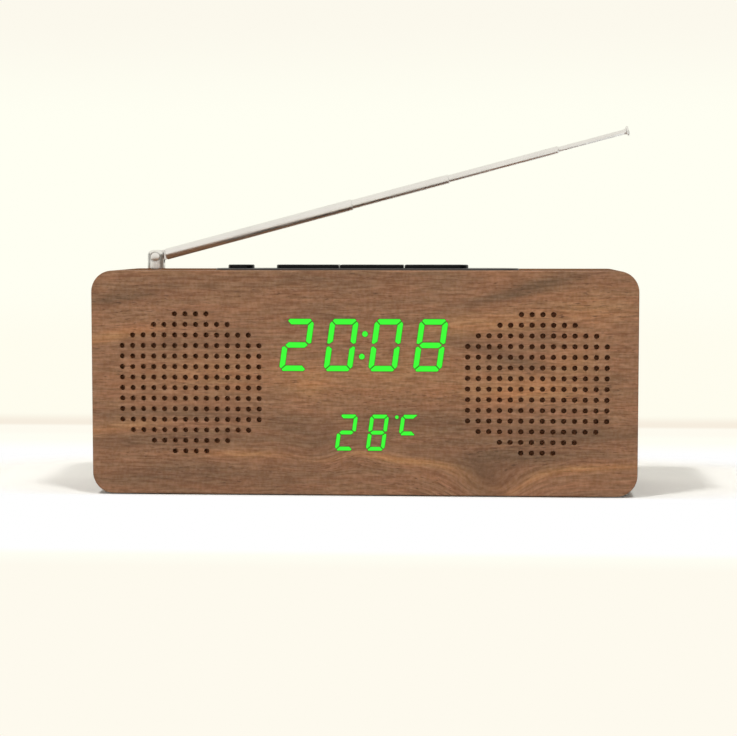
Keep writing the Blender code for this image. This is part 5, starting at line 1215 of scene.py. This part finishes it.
def finish_inside():
    """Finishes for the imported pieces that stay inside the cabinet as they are."""
    steel = galvanised()
    cloth = woven("speaker_cloth", (0.45, 0.19, 0.09), 0.0004)
    paper = fibrous("speaker_paper", (0.012, 0.012, 0.012), 0.85)
    magnet = fibrous("ferrite", (0.04, 0.04, 0.043), 0.7, 0.0004)
    lead = sleeved("black_lead", (0.012, 0.012, 0.012))
    switch = moulded("switch_plastic", (0.03, 0.03, 0.03), 0.45)
    board_green = circuit_board()
    finishes = {
        "display_diffuser": moulded("diffuser_film", (0.72, 0.75, 0.72), 0.6),
        "display_reflector": moulded("white_reflector", (0.8, 0.8, 0.78), 0.5),
        "display_board": board_green, "button_board": board_green, "main_board": board_green,
        "antenna_washer": steel, "antenna_nut": steel, "coin_cell": steel,
        "coin_cell_holder": switch,
        "temperature_sensor": moulded("sensor_resin", (0.10, 0.06, 0.02), 0.15),
        "antenna_lead": sleeved("red_lead", (0.42, 0.025, 0.018)),
    }
    for i in (1, 2):
        finishes[f"display_screw_{i}"] = steel
        finishes[f"main_board_screw_{i}"] = steel
    for side in ("left", "right"):
        finishes[f"button_board_screw_{side}"] = steel
        parts = {"cloth": cloth, "frame": steel, "cone": paper, "magnet": magnet, "lead": lead}
        finishes.update({f"speaker_{side}_{part}": material for part, material in parts.items()})
        finishes.update({f"speaker_{side}_screw_{i}": steel for i in (1, 2)})
    finishes.update({f"switch_{name}": switch for name in ("left", "middle", "right", "power")})
    for name, material in finishes.items():
        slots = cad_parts[name].data.materials
        slots.clear()
        slots.append(material)


finish_inside()


WALL_Y = 0.24


def backdrop():
    """A white table with a cream edge in front and a cream wall behind, in one sheet.

    Seen by the camera and in reflections, each place away from the radio has its own pale colour, with a
    painted shade along the joint of table and wall, and the sheet is clear from behind. Round the radio
    the table is plain paint, so that it keeps the shadow.
    """
    shell = Shell()
    y = np.array([-3.0, WALL_Y, WALL_Y])
    z = np.array([0.0, 0.0, 3.0])
    x = np.array([-4.0, 4.0])
    grid = shell.put(np.meshgrid(x, y, indexing="ij") + [np.broadcast_to(z, (2, 3))])
    mesh = bpy.data.meshes.new("backdrop")
    mesh.from_pydata(np.concatenate(shell.points).tolist(), [], cell_corners(grid).reshape(-1, 4).tolist())
    paint = Paint("backdrop", (0.775, 0.762, 0.722), 0.9)
    paint.shader.inputs["Specular IOR Level"].default_value = 0.0
    _, y, z = paint.split(paint.spot())
    colour = (1.0, 1.0, 1.0)
    for axis, start, end, shade in (
        (y, -0.149, -0.163, (1.0, 1.0, 0.90)),
        (y, -0.158, -0.185, (0.991, 0.956, 0.855)),
        (y, 0.11, 0.17, (1.0, 1.0, 0.9)),
        (y, 0.175, 0.2, (1.0, 0.97, 0.87)),
        # painted shade along the joint of table and wall: darker over the table's last 16 mm, and kept on the
        # wall's lowest 6 mm by the next row
        (y, 0.222, 0.238, (0.925, 0.85, 0.735)),
        (z, 0.0005, 0.006, (1.0, 0.982, 0.86)),
        (z, 0.04, 0.075, (1.0, 1.0, 0.888)),
        (z, 0.155, 0.215, (0.973, 0.943, 0.845)),
    ):
        colour = paint.mix(paint.ramp(axis, start, end), colour, shade)
    rays = paint.node("ShaderNodeLightPath").outputs
    seen = paint.math("MAXIMUM", rays["Is Camera Ray"], rays["Is Glossy Ray"])
    seen = paint.math("MAXIMUM", seen, rays["Is Transmission Ray"])
    near = paint.hill(paint.spot(), (0, 0.03), (0.185, 0.08))
    near = paint.math("MULTIPLY", paint.ramp(near, 0.25, 0.5), paint.ramp(y, -0.034, -0.027))
    open_table = paint.math("SUBTRACT", 1.0, near)
    glow = paint.node("ShaderNodeEmission", {"Color": colour, "Strength": 1.0}).outputs[0]
    factor = paint.math("MULTIPLY", seen, open_table)
    mixed = paint.node("ShaderNodeMixShader", {0: factor, 1: paint.shader.outputs[0], 2: glow}).outputs[0]
    clear = paint.node("ShaderNodeBsdfTransparent").outputs[0]
    behind = paint.math("MULTIPLY", seen, paint.node("ShaderNodeNewGeometry").outputs["Backfacing"])
    mixed = paint.node("ShaderNodeMixShader", {0: behind, 1: mixed, 2: clear}).outputs[0]
    paint.tree.links.new(mixed, paint.tree.nodes["Material Output"].inputs["Surface"])
    mesh.materials.append(paint.material)
    added("backdrop", mesh)


def card(name, x, y_from, y_to):
    """A standing grey card beside the radio that only reflections see."""
    mesh = bpy.data.meshes.new(name)
    height = 0.30
    corners = [(x, y_from, 0.0), (x, y_to, 0.0), (x, y_to, height), (x, y_from, height)]
    mesh.from_pydata(corners, [], [(0, 1, 2, 3)])
    paint = Paint(name, (0.0, 0.0, 0.0), 1.0)
    paint.shader.inputs["Emission Color"].default_value = (0.16, 0.16, 0.13, 1)
    paint.shader.inputs["Emission Strength"].default_value = 1.0
    mesh.materials.append(paint.material)
    standing = added(name, mesh)
    standing.visible_camera = standing.visible_diffuse = standing.visible_shadow = False


def softbox(name, place, size, power):
    """A rectangular lamp that faces the radio's middle and isn't seen in reflections."""
    lamp = bpy.data.lights.new(name, "AREA")
    lamp.shape = "RECTANGLE"
    lamp.size, lamp.size_y = size
    lamp.energy = power
    holder = added(name, lamp)
    holder.location = place
    x, y, z = np.array((0, 0, 0.04)) - place
    holder.rotation_euler = (math.atan2(math.hypot(x, y), -z), 0, math.atan2(-x, y))
    holder.visible_glossy = False


# The room's strength in light that falls on the radio, then in what reflections and the camera see.
ROOM_LIGHT = 0.26
ROOM_SEEN = (("Is Glossy Ray", 0.95), ("Is Transmission Ray", 1.0), ("Is Camera Ray", 1.0))


def studio():
    """Camera at the photograph's angle, two softboxes over the front, one behind the camera, a pale room."""
    camera = bpy.data.cameras.new("camera")
    camera.lens = 89.39
    camera.sensor_width = 36.0
    camera.clip_start = 0.01
    seat = added("camera", camera)
    seat.location = (0.0416, -0.714, 0.0965)
    seat.rotation_euler = (math.radians(86.0), 0, math.radians(3.3))
    bpy.context.scene.camera = seat
    softbox("left_softbox", (-0.32, -0.43, 1.08), (0.13, 0.10), 7.6)
    softbox("right_softbox", (0.26, -0.43, 1.08), (0.13, 0.10), 5.6)
    softbox("front_softbox", (0.02, -1.25, 0.22), (0.30, 0.20), 2.4)
    world = bpy.data.worlds.new("studio")
    world.use_nodes = True
    nodes, links = world.node_tree.nodes, world.node_tree.links
    nodes["Background"].inputs["Color"].default_value = (1.0, 0.955, 0.88, 1)
    rays = nodes.new("ShaderNodeLightPath").outputs
    strength = nodes.new("ShaderNodeValue").outputs[0]
    strength.default_value = ROOM_LIGHT
    for ray, seen in ROOM_SEEN:
        chosen = nodes.new("ShaderNodeMapRange")
        links.new(rays[ray], chosen.inputs["Value"])
        links.new(strength, chosen.inputs["To Min"])
        chosen.inputs["To Max"].default_value = seen
        strength = chosen.outputs[0]
    links.new(strength, nodes["Background"].inputs["Strength"])
    bpy.context.scene.world = world
    bpy.context.scene.view_settings.view_transform = "Standard"


backdrop()
card("left_card", -0.55, -0.05, 0.30)
card("right_card", 0.55, -0.45, 0.22)
studio()
